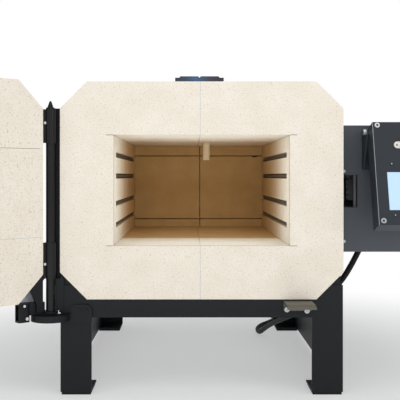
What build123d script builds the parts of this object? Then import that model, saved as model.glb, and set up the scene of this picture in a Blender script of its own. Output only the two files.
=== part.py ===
from build123d import *
import math
import os

# Bench-top heat treat oven: an octagonal firebrick chamber in a stainless case,
# on a sheet steel stand, with a side-hinged brick door and a tilting controller.
# Millimetres. X to the right, Y to the back, Z up.
# The origin is on the floor at the middle of the stand's four feet.
# The door is drawn closed and then swung to the open rest pose.

# Case and chamber
CHAMBER_WIDTH = 251.5
CHAMBER_HEIGHT = 158.0
CHAMBER_DEPTH = 457.2
BRICK_WALL = 76.2
CASE_CHAMFER = 38.4
RIM_DEPTH = 10.0
SHELL_SHEET = 1.2
SHELL_FIT = 0.3
BRICK_JOINT = 0.5
BACK_JOINT = 1.7
ROOF_SEAM_X = -2.0
BACK_SEAM_X = 2.5
SEAT_WIDTH = 10.5
SEAT_HEIGHT = 10.2
LOWER_COURSE = 91.0
MIDDLE_COURSE = 124.5

# Elements and thermocouple
GROOVE_HEIGHT = 8.0
GROOVE_DEPTH = 9.5
GROOVE_START = 40.0
GROOVE_OFFSETS = (-52.0, -20.5, 20.5, 52.0)
ELEMENT_COIL_DIAMETER = 6.4
ELEMENT_TAIL_DIAMETER = 3.2
TAIL_CLEARANCE = 0.6
BUSHING_DIAMETER = 14.0
BUSHING_LENGTH = 12.0
TAIL_REACH = 9.0
COVER_ROOM = 8.0
COVER_DEPTH = BUSHING_LENGTH + TAIL_REACH + COVER_ROOM
COVER_FLANGE = 12.0
COVER_MARGIN = 14.0
LOUVRE_SPAN = 0.36
THERMOCOUPLE_DIAMETER = 12.5
THERMOCOUPLE_DROP = 30.0
THERMOCOUPLE_X = 12.7
THERMOCOUPLE_BACK = 298.0
THERMOCOUPLE_CLEARANCE = 0.5
THERMOCOUPLE_STICKS_OUT = 6.0
BLOCK_SIZE = (34.0, 26.0, 20.0)
BLOCK_SHIFT = 6.0
TERMINAL_RADIUS = 2.8
TERMINAL_HEIGHT = 3.0
TERMINAL_SPACING = 12.0
GUARD_WIDTH = 86.0
GUARD_DEPTH = 56.0
GUARD_HEIGHT = 8.6
GUARD_LIFT = 33.2
GUARD_SHEET = 1.6
GUARD_END = 7.0
GUARD_NOTCH = 2.6
NUT_RADIUS = 5.0
NUT_HEIGHT = 3.0
GUARD_POST_DIAMETER = 3.0
GUARD_POST_BACK = 325.0
GUARD_OVERHANG = 44.0

# Stand
CASE_LIFT = 136.0
PAD_THICKNESS = 4.0
STAND_SHEET = 2.5
LEG_WIDTH = 44.2
LEG_TOP = 20.0
STAND_MARGIN = 0.8
STAND_OVERHANG = 4.4
BEAM_SIZE = 25.4
BEAM_WALL = 2.0
BEAM_GAP = 0.4
FOOT_LENGTH = 60.0
FOOT_HOLE_DIAMETER = 9.0
CRADLE_FIT = 0.4
CRADLE_TOP = 34.0
WINDOW_INSET = 60.0
WINDOW_LOW = -72.0
WINDOW_HIGH = 8.0
WINDOW_RADIUS = 12.0
PAD_MARGIN = 1.5
SIDE_BOLT_INSET = 90.0

# Door and hinge
DOOR_THICKNESS = 76.2
DOOR_GAP = 1.0
DOOR_DROP = 1.5
DOOR_OPEN = 140.0
HINGE_OFFSET = 13.0
HINGE_FORWARD = 3.0
HINGE_ROD_DIAMETER = 12.7
HINGE_RUNNING_FIT = 0.05
BARREL_WALL = 1.7
BARREL_LENGTH = 47.5
UPPER_BARREL_LOW = 222.4
LOWER_BARREL_LOW = 34.0
WEB_SCREW_LIFTS = (28.3, 17.2)
ROD_TOP = 272.5
ROD_POINT = 9.5
STRAP_SHEET = 3.0
STRAP_LENGTH = 62.0
COLLAR_HEIGHT = 3.2
COLLAR_GAP = 0.3
RAIL_SHEET = 3.0
RAIL_FRONT_WIDTH = 17.5
RAIL_SIDE_DEPTH = 48.0
RAIL_BACK = 8.0
RAIL_FOOT_TUCK = 0.2
RAIL_FOOT_WIDTH = 12.4
RAIL_FOOT_LOW = -15.5
RAIL_FOOT_TOP = 30.0
RAIL_FOOT_SHEET = 1.1
RAIL_FOOT_SCREW = (5.6, 7.0, 0.3)
ARM_HEIGHT = 26.5
ARM_DEPTH = 14.0
ARM_WALL = 2.5
ARM_LENGTH = 17.0
ARM_START = 30.0
ARM_SETBACK = 4.0
LUG_LIFT = 1.0
LEAF_SHEET = 2.0
LEAF_SETBACK = 14.0
LEAF_TOP = 15.0
BARREL_WEB = 2.8
LUG_MARGIN = 3.0
LUG_WIDTH = 12.0
LUG_SETBACK = 0.6
CORNER_PLATE_WIDTH = 20.0
CORNER_PLATE_FOOT = 10.0
RAIL_SCREW_HEIGHTS = (36.0, 50.0, 253.0)

# Base bracket of the hinge
BASE_PLATE = 3.0
SHELF_THICKNESS = 9.0
TIE_HEIGHT = 12.0
BASE_TOP = -20.0
SHELF_RADIUS = 27.5
TAB_WIDTH = 30.0
TAB_HEIGHT = 16.0
TAB_RADIUS = 9.0
BRACKET_GAP = 0.1

# Latch
LATCH_WINDOW_WIDTH = 28.65
LATCH_WINDOW_LOW = 128.9
LATCH_WINDOW_HIGH = 177.6
LATCH_SHAFT_DIAMETER = 10.0
LATCH_FIT = 0.05
CAM_LENGTH = 22.0
CAM_WIDTH = 10.0
CAM_THICKNESS = 6.0
CAM_BACK = 61.0
KEEPER_DEPTH = 30.0
KEEPER_SHEET = 1.5
KEEPER_SLOT_MARGIN = 4.0
LATCH_PLATE = 3.0
WASHER_SPACE = 1.0
LEVER_LENGTH = 68.0
LEVER_DIAMETER = 9.0
KNOB_DIAMETER = 30.0
HUB_DIAMETER = 20.0
HUB_LENGTH = 27.0
LEVER_INSET = 5.0
KNOB_OVERLAP = 7.0
LATCH_BRACKET_HALF = 22.0
LATCH_BRACKET_INSET = 2.0
LATCH_CHEEK = 11.0
LATCH_SCREWS_ALONG = (-16.0, 8.0)
LATCH_SCREWS_UP = (-14.0, 14.0)

# Door rest
REST_WIDTH = 39.8
REST_LEG_GAP = 0.65
REST_REACH = 36.0
REST_SHEET = 2.5
REST_GAP = 0.4
REST_DROP = 16.0
BOLT_DIAMETER = 6.0
HEAD_DIAMETER = 10.0
HEAD_HEIGHT = 4.0
REST_LIP = 14.0
REST_FALL = 2.4
REST_BOLT_RADIUS = 3.6
REST_BOLTS = ((35.6, 13.7), (7.1, 15.5))

# Small screw heads: radius, height
PAN_HEAD = (3.5, 2.4)
SMALL_HEAD = (2.2, 1.4)
STRAP_HEAD = (1.9, 1.2)
ARM_HEAD = (2.4, 1.8)
BASE_HEAD = (2.6, 1.8)

# Control enclosure
PLATE_BACK = 49.0
PLATE_SHEET = 2.0
PLATE_GAP = 1.2
PLATE_WIDTH = 174.85
PLATE_LOW = 63.2
PLATE_HIGH = 250.8
HOUSING_DEPTH = 150.0
HOUSING_LOW = 86.0
HOUSING_SHEET = 1.5
LOUVRE_COUNT = 7
LOUVRE_HEIGHT = 4.0
LOUVRE_INSET = 40.0
SPACER_RADIUS = 5.0
LATCH_NOTCH_BACK = 81.0
LATCH_NOTCH_LOW = 116.0
LATCH_NOTCH_HIGH = 190.8
CORD_HOLE_FIT = 0.4
PLATE_SCREW_HEIGHTS = (182.8, 78.7)
SPACER_HEIGHTS = (220.8, 100.0)
SPACER_BACKS = (110.0, 175.0)

# Inside the enclosure
SINK_SIZE = (64.0, 6.0, 60.0)
SINK_FINS = 8
FIN_SHEET = 2.0
FIN_REACH = 18.0
RELAY_SIZE = (44.0, 22.0, 56.0)
RELAY_LEFT = 40.0
RELAY_LIFT = 50.0
STRIP_SIZE = (18.0, 14.0, 96.0)
STRIP_FROM_RIGHT = 60.0
STRIP_LIFT = 20.0
STRIP_WAYS = 8
STRIP_HOLE = (3.0, 3.0)

# Tilting display
DISPLAY_WIDTH = 133.0
DISPLAY_HEIGHT = 149.4
DISPLAY_DEPTH = 36.0
DISPLAY_TILT = 16.8
DISPLAY_INSET = 37.35
DISPLAY_FRONT_TOP = (-10.1, 251.9)
DISPLAY_WALL = 2.0
FACE_PLATE = 2.5
SCREEN_WIDTH = 95.0
SCREEN_HEIGHT = 53.9
SCREEN_LEFT = 16.1
SCREEN_TOP = 74.0
SCREEN_FIT = 0.3
SCREEN_RECESS = 0.4
SCREEN_DEPTH = 6.0
CORNER_HEAD = (3.7, 1.3)
CORNER_INSET_X = 6.5
CORNER_INSET_Z = (5.0, 6.0)
CORNER_RECESS = (1.6, 0.8)
FACE_HEAD = (1.7, 0.8)
FACE_SCREW_INSET = 7.0
FACE_SCREW_ABOVE = 11.5
FACE_SCREW_BELOW = 8.0
PIVOT_INSET = 3.5
EAR_SHEET = 1.5
EAR_HEIGHT = 54.0
EAR_RISE = 4.0
EAR_GAP = 0.6
SWITCH_FROM_LEFT = 42.0
SWITCH_FROM_TOP = 34.5
ESCUTCHEON_LENGTH = 28.0
ESCUTCHEON_HEIGHT = 10.0
TOGGLE_LENGTH = 15.0
TOGGLE_DIAMETER = 5.0
TOGGLE_LEAN = 12.0
TOGGLE_HOLE_DIAMETER = 8.4
TOGGLE_PIN_RADIUS = 2.0
TOGGLE_PIN_LENGTH = 5.0
ESCUTCHEON_SHEET = 1.4
SWITCH_SIZE = (16.0, 18.0, 16.0)
SWITCH_SETBACK = 1.3
PIVOT_BOLT_RADIUS = 2.5
PIVOT_HEAD = (4.6, 4.3)
EAR_FIT = 0.06

# Power cord
CORD_DIAMETER = 9.0
CORD_EXIT = (246.0, 90.0, 70.0)
NUT_FLATS_RADIUS = 10.0
GLAND_NUT = 3.0
GLAND_TAPER = (6.3, 8.7)
GLAND_INSIDE = 12.0
GLAND_LOCKNUT = (8.5, 4.0)
COIL_OUTER_RADIUS = 61.0
COIL_PITCH = 11.0
COIL_LAYER = 9.8
COIL_HALF_TURNS = 3
COIL_BEHIND = 76.0
COIL_X = 225.0
LEAD_IN = 24.0
PLUG_DIAMETER = 28.0
PLUG_LENGTH = 34.0
PLUG_NECK = 22.0
BLADE_LENGTH = 17.0
BLADE_WIDTH = 6.3
BLADE_SHEET = 1.5
BLADE_OFFSET = 6.35
BLADE_RISE = 2.0
PIN_RADIUS = 2.4
PIN_LENGTH = 20.0
PIN_DROP = 7.0

# Worked out from the sizes above
CASE_WIDTH = CHAMBER_WIDTH + 2 * BRICK_WALL
CASE_HEIGHT = CHAMBER_HEIGHT + 2 * BRICK_WALL
BRICK_DEPTH = CHAMBER_DEPTH + BRICK_WALL
CASE_DEPTH = BRICK_DEPTH + SHELL_FIT + SHELL_SHEET
STAND_DEPTH = CASE_DEPTH + STAND_OVERHANG
FRONT = -STAND_DEPTH / 2
BASE = CASE_LIFT
TOP = BASE + CASE_HEIGHT
HALF = CASE_WIDTH / 2
CHAMBER_HALF = CHAMBER_WIDTH / 2
CHAMBER_LOW = BASE + BRICK_WALL
CHAMBER_HIGH = CHAMBER_LOW + CHAMBER_HEIGHT
CHAMBER_MIDDLE = (CHAMBER_LOW + CHAMBER_HIGH) / 2
BACK_OF_CHAMBER = FRONT + CHAMBER_DEPTH
BACK_OF_BRICK = FRONT + BRICK_DEPTH
BACK_OF_CASE = FRONT + CASE_DEPTH
STAND_BACK = FRONT + STAND_DEPTH
STAND_HALF = HALF - STAND_MARGIN
LEG_INNER = STAND_HALF - LEG_WIDTH
REST_RIGHT = LEG_INNER - REST_LEG_GAP
HINGE_X = -HALF - HINGE_OFFSET
HINGE_Y = FRONT - HINGE_FORWARD
DOOR_INNER = FRONT - DOOR_GAP
DOOR_OUTER = DOOR_INNER - DOOR_THICKNESS
LATCH_WINDOW_LEFT = HALF + PLATE_GAP
LATCH_WINDOW_RIGHT = LATCH_WINDOW_LEFT + LATCH_WINDOW_WIDTH
PLATE_RIGHT = HALF + PLATE_GAP + PLATE_WIDTH
DISPLAY_LEFT = HALF + PLATE_GAP + DISPLAY_INSET
LATCH_X = (LATCH_WINDOW_LEFT + LATCH_WINDOW_RIGHT) / 2
LATCH_Z = BASE + (LATCH_WINDOW_LOW + LATCH_WINDOW_HIGH) / 2
ELEMENT_X = CHAMBER_HALF + GROOVE_DEPTH - GROOVE_HEIGHT / 2
ROD_RADIUS = HINGE_ROD_DIAMETER / 2
BARREL_RADIUS = ROD_RADIUS + HINGE_RUNNING_FIT + BARREL_WALL
CORD_RADIUS = CORD_DIAMETER / 2
PIVOT_REACH = DISPLAY_DEPTH - PIVOT_INSET

# How far a cutting shape passes the face that it cuts
OVERCUT = 1.0


def block(x0, x1, y0, y1, z0, z1):
    """A box between two corners."""
    middle = Pos((x0 + x1) / 2, (y0 + y1) / 2, (z0 + z1) / 2)
    return middle * Box(abs(x1 - x0), abs(y1 - y0), abs(z1 - z0))


def outline(points):
    """A flat face from its corners."""
    return make_face(Polyline(*points, close=True))


def prism_y(points, y0, y1):
    """A profile of (x, z) corners that runs from y0 to y1."""
    return extrude(Plane.XZ.offset(-y1) * outline(points), amount=y1 - y0)


def prism_x(points, x0, x1):
    """A profile of (y, z) corners that runs from x0 to x1."""
    return extrude(Plane.YZ.offset(x0) * outline(points), amount=x1 - x0)


def bar_x(radius, x0, x1, y, z):
    """A round bar along X."""
    return Pos((x0 + x1) / 2, y, z) * Rot(0, 90, 0) * Cylinder(radius, abs(x1 - x0))


def bar_y(radius, y0, y1, x, z):
    """A round bar along Y."""
    return Pos(x, (y0 + y1) / 2, z) * Rot(90, 0, 0) * Cylinder(radius, abs(y1 - y0))


def bar_z(radius, z0, z1, x, y):
    """A round bar along Z."""
    return Pos(x, y, (z0 + z1) / 2) * Cylinder(radius, abs(z1 - z0))


def octagon(inset, drop=0.0):
    """Corners of the case outline, drawn in by an inset."""
    half = HALF - inset
    low = BASE + inset - drop
    high = TOP - inset - drop
    cut = CASE_CHAMFER - inset * (2 - math.sqrt(2))
    return [
        (-half + cut, low),
        (half - cut, low),
        (half, low + cut),
        (half, high - cut),
        (half - cut, high),
        (-half + cut, high),
        (-half, high - cut),
        (-half, low + cut),
    ]


def swing_open(shape):
    """Turn a piece of the closed door to its open rest pose."""
    axis = Pos(HINGE_X, HINGE_Y, 0)
    return axis * Rot(0, 0, -DOOR_OPEN) * axis.inverse() * shape


def mirror_x(shape):
    """The same piece on the other side of the oven."""
    return mirror(shape, about=Plane.YZ)


def group(shapes):
    """Separate solids kept in one node."""
    return Compound(children=[s for shape in shapes for s in shape.solids()])


# Stand


def stand_side():
    """Right side of the stand: a bent sheet with a leg flange at each end."""
    web = block(STAND_HALF - STAND_SHEET, STAND_HALF, FRONT, STAND_BACK, PAD_THICKNESS, BASE + LEG_TOP)
    window = block(
        STAND_HALF - 2 * STAND_SHEET,
        STAND_HALF + STAND_SHEET,
        FRONT + WINDOW_INSET,
        STAND_BACK - WINDOW_INSET,
        BASE + WINDOW_LOW,
        BASE + WINDOW_HIGH,
    )
    window = fillet(window.edges().filter_by(Axis.X), WINDOW_RADIUS)
    slope = HALF - CASE_CHAMFER + CRADLE_FIT * math.sqrt(2)
    under = BASE - BEAM_GAP
    flange = [
        (LEG_INNER, PAD_THICKNESS),
        (STAND_HALF, PAD_THICKNESS),
        (STAND_HALF, BASE + LEG_TOP),
        (slope + LEG_TOP, BASE + LEG_TOP),
        (slope - BEAM_GAP, under),
        (LEG_INNER, under),
    ]
    side = web - window
    side += prism_y(flange, FRONT, FRONT + STAND_SHEET)
    side += prism_y(flange, STAND_BACK - STAND_SHEET, STAND_BACK)
    for y in (FRONT, STAND_BACK - FOOT_LENGTH):
        side += block(LEG_INNER, STAND_HALF, y, y + FOOT_LENGTH, PAD_THICKNESS, PAD_THICKNESS + STAND_SHEET)
        side -= bar_z(FOOT_HOLE_DIAMETER / 2, 0, BASE / 2, foot_x(), y + FOOT_LENGTH / 2)
    return side


def foot_x():
    """Distance of the foot holes from the middle of the stand."""
    return (LEG_INNER + STAND_HALF) / 2


def cradle():
    """Right cradle: a folded sheet under the case's lower chamfer."""
    line = HALF - CASE_CHAMFER + CRADLE_FIT * math.sqrt(2)
    thick = STAND_SHEET * math.sqrt(2)
    right = STAND_HALF - STAND_SHEET - CRADLE_FIT
    reach = min(CRADLE_TOP, right - line)
    slab = [
        (line, BASE),
        (line + reach, BASE + reach),
        (line + reach, BASE + reach - thick),
        (line + thick, BASE),
    ]
    start = FRONT + STAND_SHEET + CRADLE_FIT
    end = STAND_BACK - STAND_SHEET - CRADLE_FIT
    shape = prism_y(slab, start, end)
    gusset = [(line, BASE), (line + reach, BASE + reach), (line + reach, BASE)]
    shape += prism_y(gusset, start, start + STAND_SHEET)
    shape += prism_y(gusset, end - STAND_SHEET, end)
    return shape


def beam(y):
    """Square tube between the legs, under the case."""
    high = BASE - BEAM_GAP
    low = high - BEAM_SIZE
    outer = block(-LEG_INNER, LEG_INNER, y, y + BEAM_SIZE, low, high)
    inner = block(
        -LEG_INNER,
        LEG_INNER,
        y + BEAM_WALL,
        y + BEAM_SIZE - BEAM_WALL,
        low + BEAM_WALL,
        high - BEAM_WALL,
    )
    return outer - inner


def foot_pads():
    """Four rubber pads with the bolt-down holes."""
    pads = []
    half = LEG_WIDTH / 2 - PAD_MARGIN
    for side in (-1, 1):
        for y in (FRONT, STAND_BACK - FOOT_LENGTH):
            x = side * foot_x()
            pad = block(x - half, x + half, y + PAD_MARGIN, y + FOOT_LENGTH - PAD_MARGIN, 0, PAD_THICKNESS)
            pads.append(pad - bar_z(FOOT_HOLE_DIAMETER / 2, 0, PAD_THICKNESS, x, y + FOOT_LENGTH / 2))
    return group(pads)


def side_bolts():
    """Bolts through the stand's webs into the cradles."""
    bolts = []
    z = BASE + (WINDOW_HIGH + LEG_TOP) / 2
    for side in (-1, 1):
        for back in (SIDE_BOLT_INSET, STAND_DEPTH / 2, STAND_DEPTH - SIDE_BOLT_INSET):
            x = side * STAND_HALF
            bolts.append(bar_x(HEAD_DIAMETER / 2, x, x + side * HEAD_HEIGHT, FRONT + back, z))
    return bolts


# Case and bricks


def brick_envelope():
    """All that the firebrick fills, full size at the rim and inset under the shell."""
    rim = prism_y(octagon(0), FRONT, FRONT + RIM_DEPTH)
    under = prism_y(octagon(SHELL_SHEET + SHELL_FIT), FRONT + RIM_DEPTH, BACK_OF_BRICK)
    return rim + under


def tail_places():
    """Centre (x, z) of each element tail in the back wall."""
    return [(side * ELEMENT_X, CHAMBER_MIDDLE + offset) for side in (-1, 1) for offset in GROOVE_OFFSETS]


def roof_seat():
    """Height of the joint between a side brick and the roof, outside the chamber."""
    return CHAMBER_HIGH + SEAT_HEIGHT


def roof_brick(side):
    """One half of the roof, seated in the side bricks' rabbets."""
    gap = BRICK_JOINT / 2
    inner = ROOF_SEAM_X + side * gap
    reach = side * (CHAMBER_HALF + SEAT_WIDTH - gap)
    outer = side * (HALF + OVERCUT)
    deep = BACK_OF_CHAMBER - gap
    region = block(inner, reach, FRONT, deep, CHAMBER_HIGH + gap, TOP + OVERCUT)
    region += block(inner, outer, FRONT, deep, roof_seat() + gap, TOP + OVERCUT)
    brick = brick_envelope() & region
    hole = THERMOCOUPLE_DIAMETER / 2 + THERMOCOUPLE_CLEARANCE
    if side > 0:
        brick -= bar_z(hole, CHAMBER_LOW, TOP + OVERCUT, THERMOCOUPLE_X, FRONT + THERMOCOUPLE_BACK)
    return brick


def floor_brick(side):
    """One half of the floor, under the side bricks."""
    gap = BRICK_JOINT / 2
    inner = ROOF_SEAM_X + side * gap
    reach = side * (CHAMBER_HALF + SEAT_WIDTH - gap)
    outer = side * (HALF + OVERCUT)
    deep = BACK_OF_CHAMBER - gap
    region = block(inner, reach, FRONT, deep, BASE - OVERCUT, CHAMBER_LOW - gap)
    region += block(inner, outer, FRONT, deep, BASE - OVERCUT, CHAMBER_LOW - SEAT_HEIGHT - gap)
    return brick_envelope() & region


def side_brick(side):
    """A side wall with its four element grooves."""
    gap = BRICK_JOINT / 2
    inner = side * CHAMBER_HALF
    seat = side * (CHAMBER_HALF + SEAT_WIDTH + gap)
    outer = side * (HALF + OVERCUT)
    deep = BACK_OF_CHAMBER - gap
    region = block(inner, outer, FRONT, deep, CHAMBER_LOW + gap, CHAMBER_HIGH - gap)
    region += block(seat, outer, FRONT, deep, CHAMBER_LOW - SEAT_HEIGHT + gap, roof_seat() - gap)
    brick = brick_envelope() & region
    radius = GROOVE_HEIGHT / 2
    for offset in GROOVE_OFFSETS:
        z = CHAMBER_MIDDLE + offset
        start = FRONT + GROOVE_START
        x = side * ELEMENT_X
        groove = bar_y(radius, start, deep + OVERCUT, x, z)
        groove += block(side * (CHAMBER_HALF - OVERCUT), x, start, deep + OVERCUT, z - radius, z + radius)
        brick -= groove
    return brick


def courses(low, high, joint):
    """Bottom and top of the three brick courses of the back wall and the door."""
    gap = joint / 2
    first = low + LOWER_COURSE
    second = first + MIDDLE_COURSE
    return [(low - OVERCUT, first - gap), (first + gap, second - gap), (second + gap, high + OVERCUT)]


def back_bricks(side):
    """Half of the back wall: three courses, drilled for the element tails."""
    gap = BRICK_JOINT / 2
    seam = BACK_JOINT / 2
    wide = HALF + OVERCUT
    wall = brick_envelope() & block(
        BACK_SEAM_X + side * seam,
        side * wide,
        BACK_OF_CHAMBER + gap,
        BACK_OF_BRICK,
        BASE - OVERCUT,
        TOP + OVERCUT,
    )
    hole = ELEMENT_TAIL_DIAMETER / 2 + TAIL_CLEARANCE
    for x, z in tail_places():
        if x * side > 0:
            wall -= bar_y(hole, BACK_OF_CHAMBER, BACK_OF_BRICK, x, z)
    bricks = []
    for low, high in courses(BASE, TOP, BACK_JOINT):
        bricks.append(wall & block(-wide, wide, BACK_OF_CHAMBER, BACK_OF_BRICK + OVERCUT, low, high))
    return group(bricks)


def case_shell():
    """Stainless skin wrapped around the bricks."""
    start = FRONT + RIM_DEPTH + SHELL_FIT
    shell = prism_y(octagon(0), start, BACK_OF_CASE)
    shell -= prism_y(octagon(SHELL_SHEET), start - OVERCUT, BACK_OF_CASE + OVERCUT)
    hole = THERMOCOUPLE_DIAMETER / 2 + THERMOCOUPLE_CLEARANCE
    shell -= bar_z(hole, CHAMBER_HIGH, TOP + OVERCUT, THERMOCOUPLE_X, FRONT + THERMOCOUPLE_BACK)
    return shell


def case_back_panel():
    """Stainless sheet that closes the back of the shell."""
    start = BACK_OF_BRICK + SHELL_FIT
    panel = prism_y(octagon(SHELL_SHEET + SHELL_FIT), start, start + SHELL_SHEET)
    hole = ELEMENT_TAIL_DIAMETER / 2 + TAIL_CLEARANCE
    for x, z in tail_places():
        panel -= bar_y(hole, start - OVERCUT, start + 2 * SHELL_SHEET, x, z)
    return panel


def cover_half():
    """Half width of the rear terminal cover."""
    return ELEMENT_X + BUSHING_DIAMETER / 2 + COVER_MARGIN


def cover_low():
    """Bottom of the rear terminal cover."""
    return CHAMBER_MIDDLE + GROOVE_OFFSETS[0] - BUSHING_DIAMETER


def cover_high():
    """Top of the rear terminal cover."""
    return CHAMBER_MIDDLE + GROOVE_OFFSETS[-1] + BUSHING_DIAMETER


def rear_terminal_cover():
    """Louvred hood over the element terminals, with side flanges."""
    half = cover_half()
    low = cover_low()
    high = cover_high()
    start = BACK_OF_CASE + SHELL_FIT
    end = start + COVER_DEPTH
    sheet = SHELL_SHEET
    hood = block(-half, half, start, end, low, high)
    hood -= block(-half + sheet, half - sheet, start - OVERCUT, end - sheet, low + sheet, high - sheet)
    for side in (-1, 1):
        hood += block(side * (half - sheet), side * (half + COVER_FLANGE), start, start + sheet, low, high)
    pitch = (high - low) / (LOUVRE_COUNT + 1)
    for row in range(1, LOUVRE_COUNT + 1):
        z = low + row * pitch - LOUVRE_HEIGHT / 2
        for side in (-1, 1):
            middle = side * half / 2
            wide = half * LOUVRE_SPAN
            hood -= block(middle - wide, middle + wide, end - 2 * sheet, end + OVERCUT, z, z + LOUVRE_HEIGHT)
    return hood


def cover_screws():
    """Screws in the flanges of the terminal cover."""
    screws = []
    radius, height = PAN_HEAD
    y = BACK_OF_CASE + SHELL_FIT + SHELL_SHEET
    for side in (-1, 1):
        for z in (cover_low() + COVER_FLANGE, cover_high() - COVER_FLANGE):
            screws.append(bar_y(radius, y, y + height, side * (cover_half() + COVER_FLANGE / 2), z))
    return screws


# Elements and thermocouple


def element(side):
    """Four heating coils of one side wall, each with a tail through the back."""
    parts = []
    x = side * ELEMENT_X
    start = FRONT + GROOVE_START + GROOVE_HEIGHT / 2
    end = BACK_OF_CASE + BUSHING_LENGTH + TAIL_REACH
    for offset in GROOVE_OFFSETS:
        z = CHAMBER_MIDDLE + offset
        coil = bar_y(ELEMENT_COIL_DIAMETER / 2, start, BACK_OF_CHAMBER - BRICK_JOINT, x, z)
        coil += bar_y(ELEMENT_TAIL_DIAMETER / 2, BACK_OF_CHAMBER - OVERCUT, end, x, z)
        parts.append(coil)
    return group(parts)


def element_bushings():
    """Ceramic bushings around the tails where they leave the case."""
    rings = []
    for x, z in tail_places():
        ring = bar_y(BUSHING_DIAMETER / 2, BACK_OF_CASE, BACK_OF_CASE + BUSHING_LENGTH, x, z)
        bore = ELEMENT_TAIL_DIAMETER / 2 + TAIL_CLEARANCE / 2
        end = BACK_OF_CASE + BUSHING_LENGTH + OVERCUT
        rings.append(ring - bar_y(bore, BACK_OF_CASE - OVERCUT, end, x, z))
    return group(rings)


def thermocouple_tube():
    """Closed ceramic tube that hangs through the roof."""
    radius = THERMOCOUPLE_DIAMETER / 2
    y = FRONT + THERMOCOUPLE_BACK
    low = CHAMBER_HIGH - THERMOCOUPLE_DROP
    tube = bar_z(radius, low, TOP + THERMOCOUPLE_STICKS_OUT, THERMOCOUPLE_X, y)
    return fillet(tube.edges().group_by(Axis.Z)[0], radius / 5)


def thermocouple_block():
    """Ceramic terminal block on the tube's head."""
    width, depth, height = BLOCK_SIZE
    x = THERMOCOUPLE_X + BLOCK_SHIFT
    y = FRONT + THERMOCOUPLE_BACK + BLOCK_SHIFT
    body = block(x - width / 2, x + width / 2, y - depth / 2, y + depth / 2, TOP, TOP + height)
    socket = THERMOCOUPLE_DIAMETER / 2 + THERMOCOUPLE_CLEARANCE
    deep = THERMOCOUPLE_STICKS_OUT + THERMOCOUPLE_CLEARANCE
    body -= bar_z(socket, TOP - OVERCUT, TOP + deep, THERMOCOUPLE_X, FRONT + THERMOCOUPLE_BACK)
    for side in (-1, 1):
        terminal = x + side * TERMINAL_SPACING / 2
        body += bar_z(TERMINAL_RADIUS, TOP + height, TOP + height + TERMINAL_HEIGHT, terminal, y)
    return body


def thermocouple_guard():
    """Flat hood over the block with a front skirt, cut corners and a centre crease."""
    half = GUARD_WIDTH / 2
    low = TOP + GUARD_LIFT
    high = low + GUARD_HEIGHT
    sheet = GUARD_SHEET
    shoulder = half - GUARD_END
    notch = GUARD_NOTCH
    profile = [
        (-half, low),
        (half, low),
        (half, high - notch),
        (shoulder, high - notch),
        (shoulder - notch, high),
        (notch, high),
        (0, high - notch),
        (-notch, high),
        (notch - shoulder, high),
        (-shoulder, high - notch),
        (-half, high - notch),
    ]
    y0 = FRONT + GUARD_POST_BACK - GUARD_OVERHANG
    y1 = y0 + GUARD_DEPTH
    hood = prism_y(profile, y0, y1)
    hollow = block(
        -half - OVERCUT,
        half + OVERCUT,
        y0 + sheet,
        y1 + OVERCUT,
        low - OVERCUT,
        high - notch - sheet,
    )
    return hood - hollow


def guard_post():
    """Threaded post that holds the guard over the case, with its nut."""
    y = FRONT + GUARD_POST_BACK
    top = TOP + GUARD_LIFT + GUARD_HEIGHT - GUARD_NOTCH - GUARD_SHEET
    post = bar_z(GUARD_POST_DIAMETER / 2, TOP, top, 0, y)
    return post + bar_z(NUT_RADIUS, TOP, TOP + NUT_HEIGHT, 0, y)


# Hinge on the case


def hinge_rod():
    """Round hinge rod with a pointed top, standing on the base bracket."""
    rod = bar_z(ROD_RADIUS, BASE + BASE_TOP, BASE + ROD_TOP, HINGE_X, HINGE_Y)
    point = Pos(HINGE_X, HINGE_Y, BASE + ROD_TOP + ROD_POINT / 2) * Cone(ROD_RADIUS * 0.72, 1.2, ROD_POINT)
    return rod + point


def hinge_collar():
    """Thrust collar that carries the lower barrel."""
    high = BASE + LOWER_BARREL_LOW - COLLAR_GAP
    ring = bar_z(BARREL_RADIUS, high - COLLAR_HEIGHT, high, HINGE_X, HINGE_Y)
    return ring - bar_z(ROD_RADIUS + HINGE_RUNNING_FIT, BASE, TOP, HINGE_X, HINGE_Y)


def rail_foot_left():
    """Left edge of the rail's foot, tucked behind the rod's side and clear of it."""
    return HINGE_X + ROD_RADIUS - RAIL_FOOT_TUCK


def hinge_rail():
    """Steel angle down the left side of the case, behind the rod."""
    left = -HALF - CRADLE_FIT
    front = FRONT + RAIL_BACK
    shape = block(left - RAIL_FRONT_WIDTH, left, front, front + RAIL_SHEET, BASE + LEG_TOP, BASE + ROD_TOP)
    shape += block(left - RAIL_SHEET, left, front, front + RAIL_SIDE_DEPTH, BASE + LEG_TOP, BASE + ROD_TOP)
    shape += block(
        -STAND_HALF - CRADLE_FIT - RAIL_SHEET,
        -STAND_HALF - CRADLE_FIT,
        front,
        front + RAIL_SIDE_DEPTH,
        BASE + BASE_TOP,
        BASE + LEG_TOP + OVERCUT,
    )
    x0 = rail_foot_left()
    x1 = x0 + RAIL_FOOT_WIDTH
    face = FRONT - BRACKET_GAP
    shape += block(x0, x1, face - RAIL_FOOT_SHEET, face, BASE + RAIL_FOOT_LOW, BASE + RAIL_FOOT_TOP)
    return shape + block(
        x0,
        left - RAIL_SHEET,
        face - RAIL_FOOT_SHEET,
        front + RAIL_SHEET,
        BASE + LEG_TOP + OVERCUT,
        BASE + RAIL_FOOT_TOP,
    )


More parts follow.
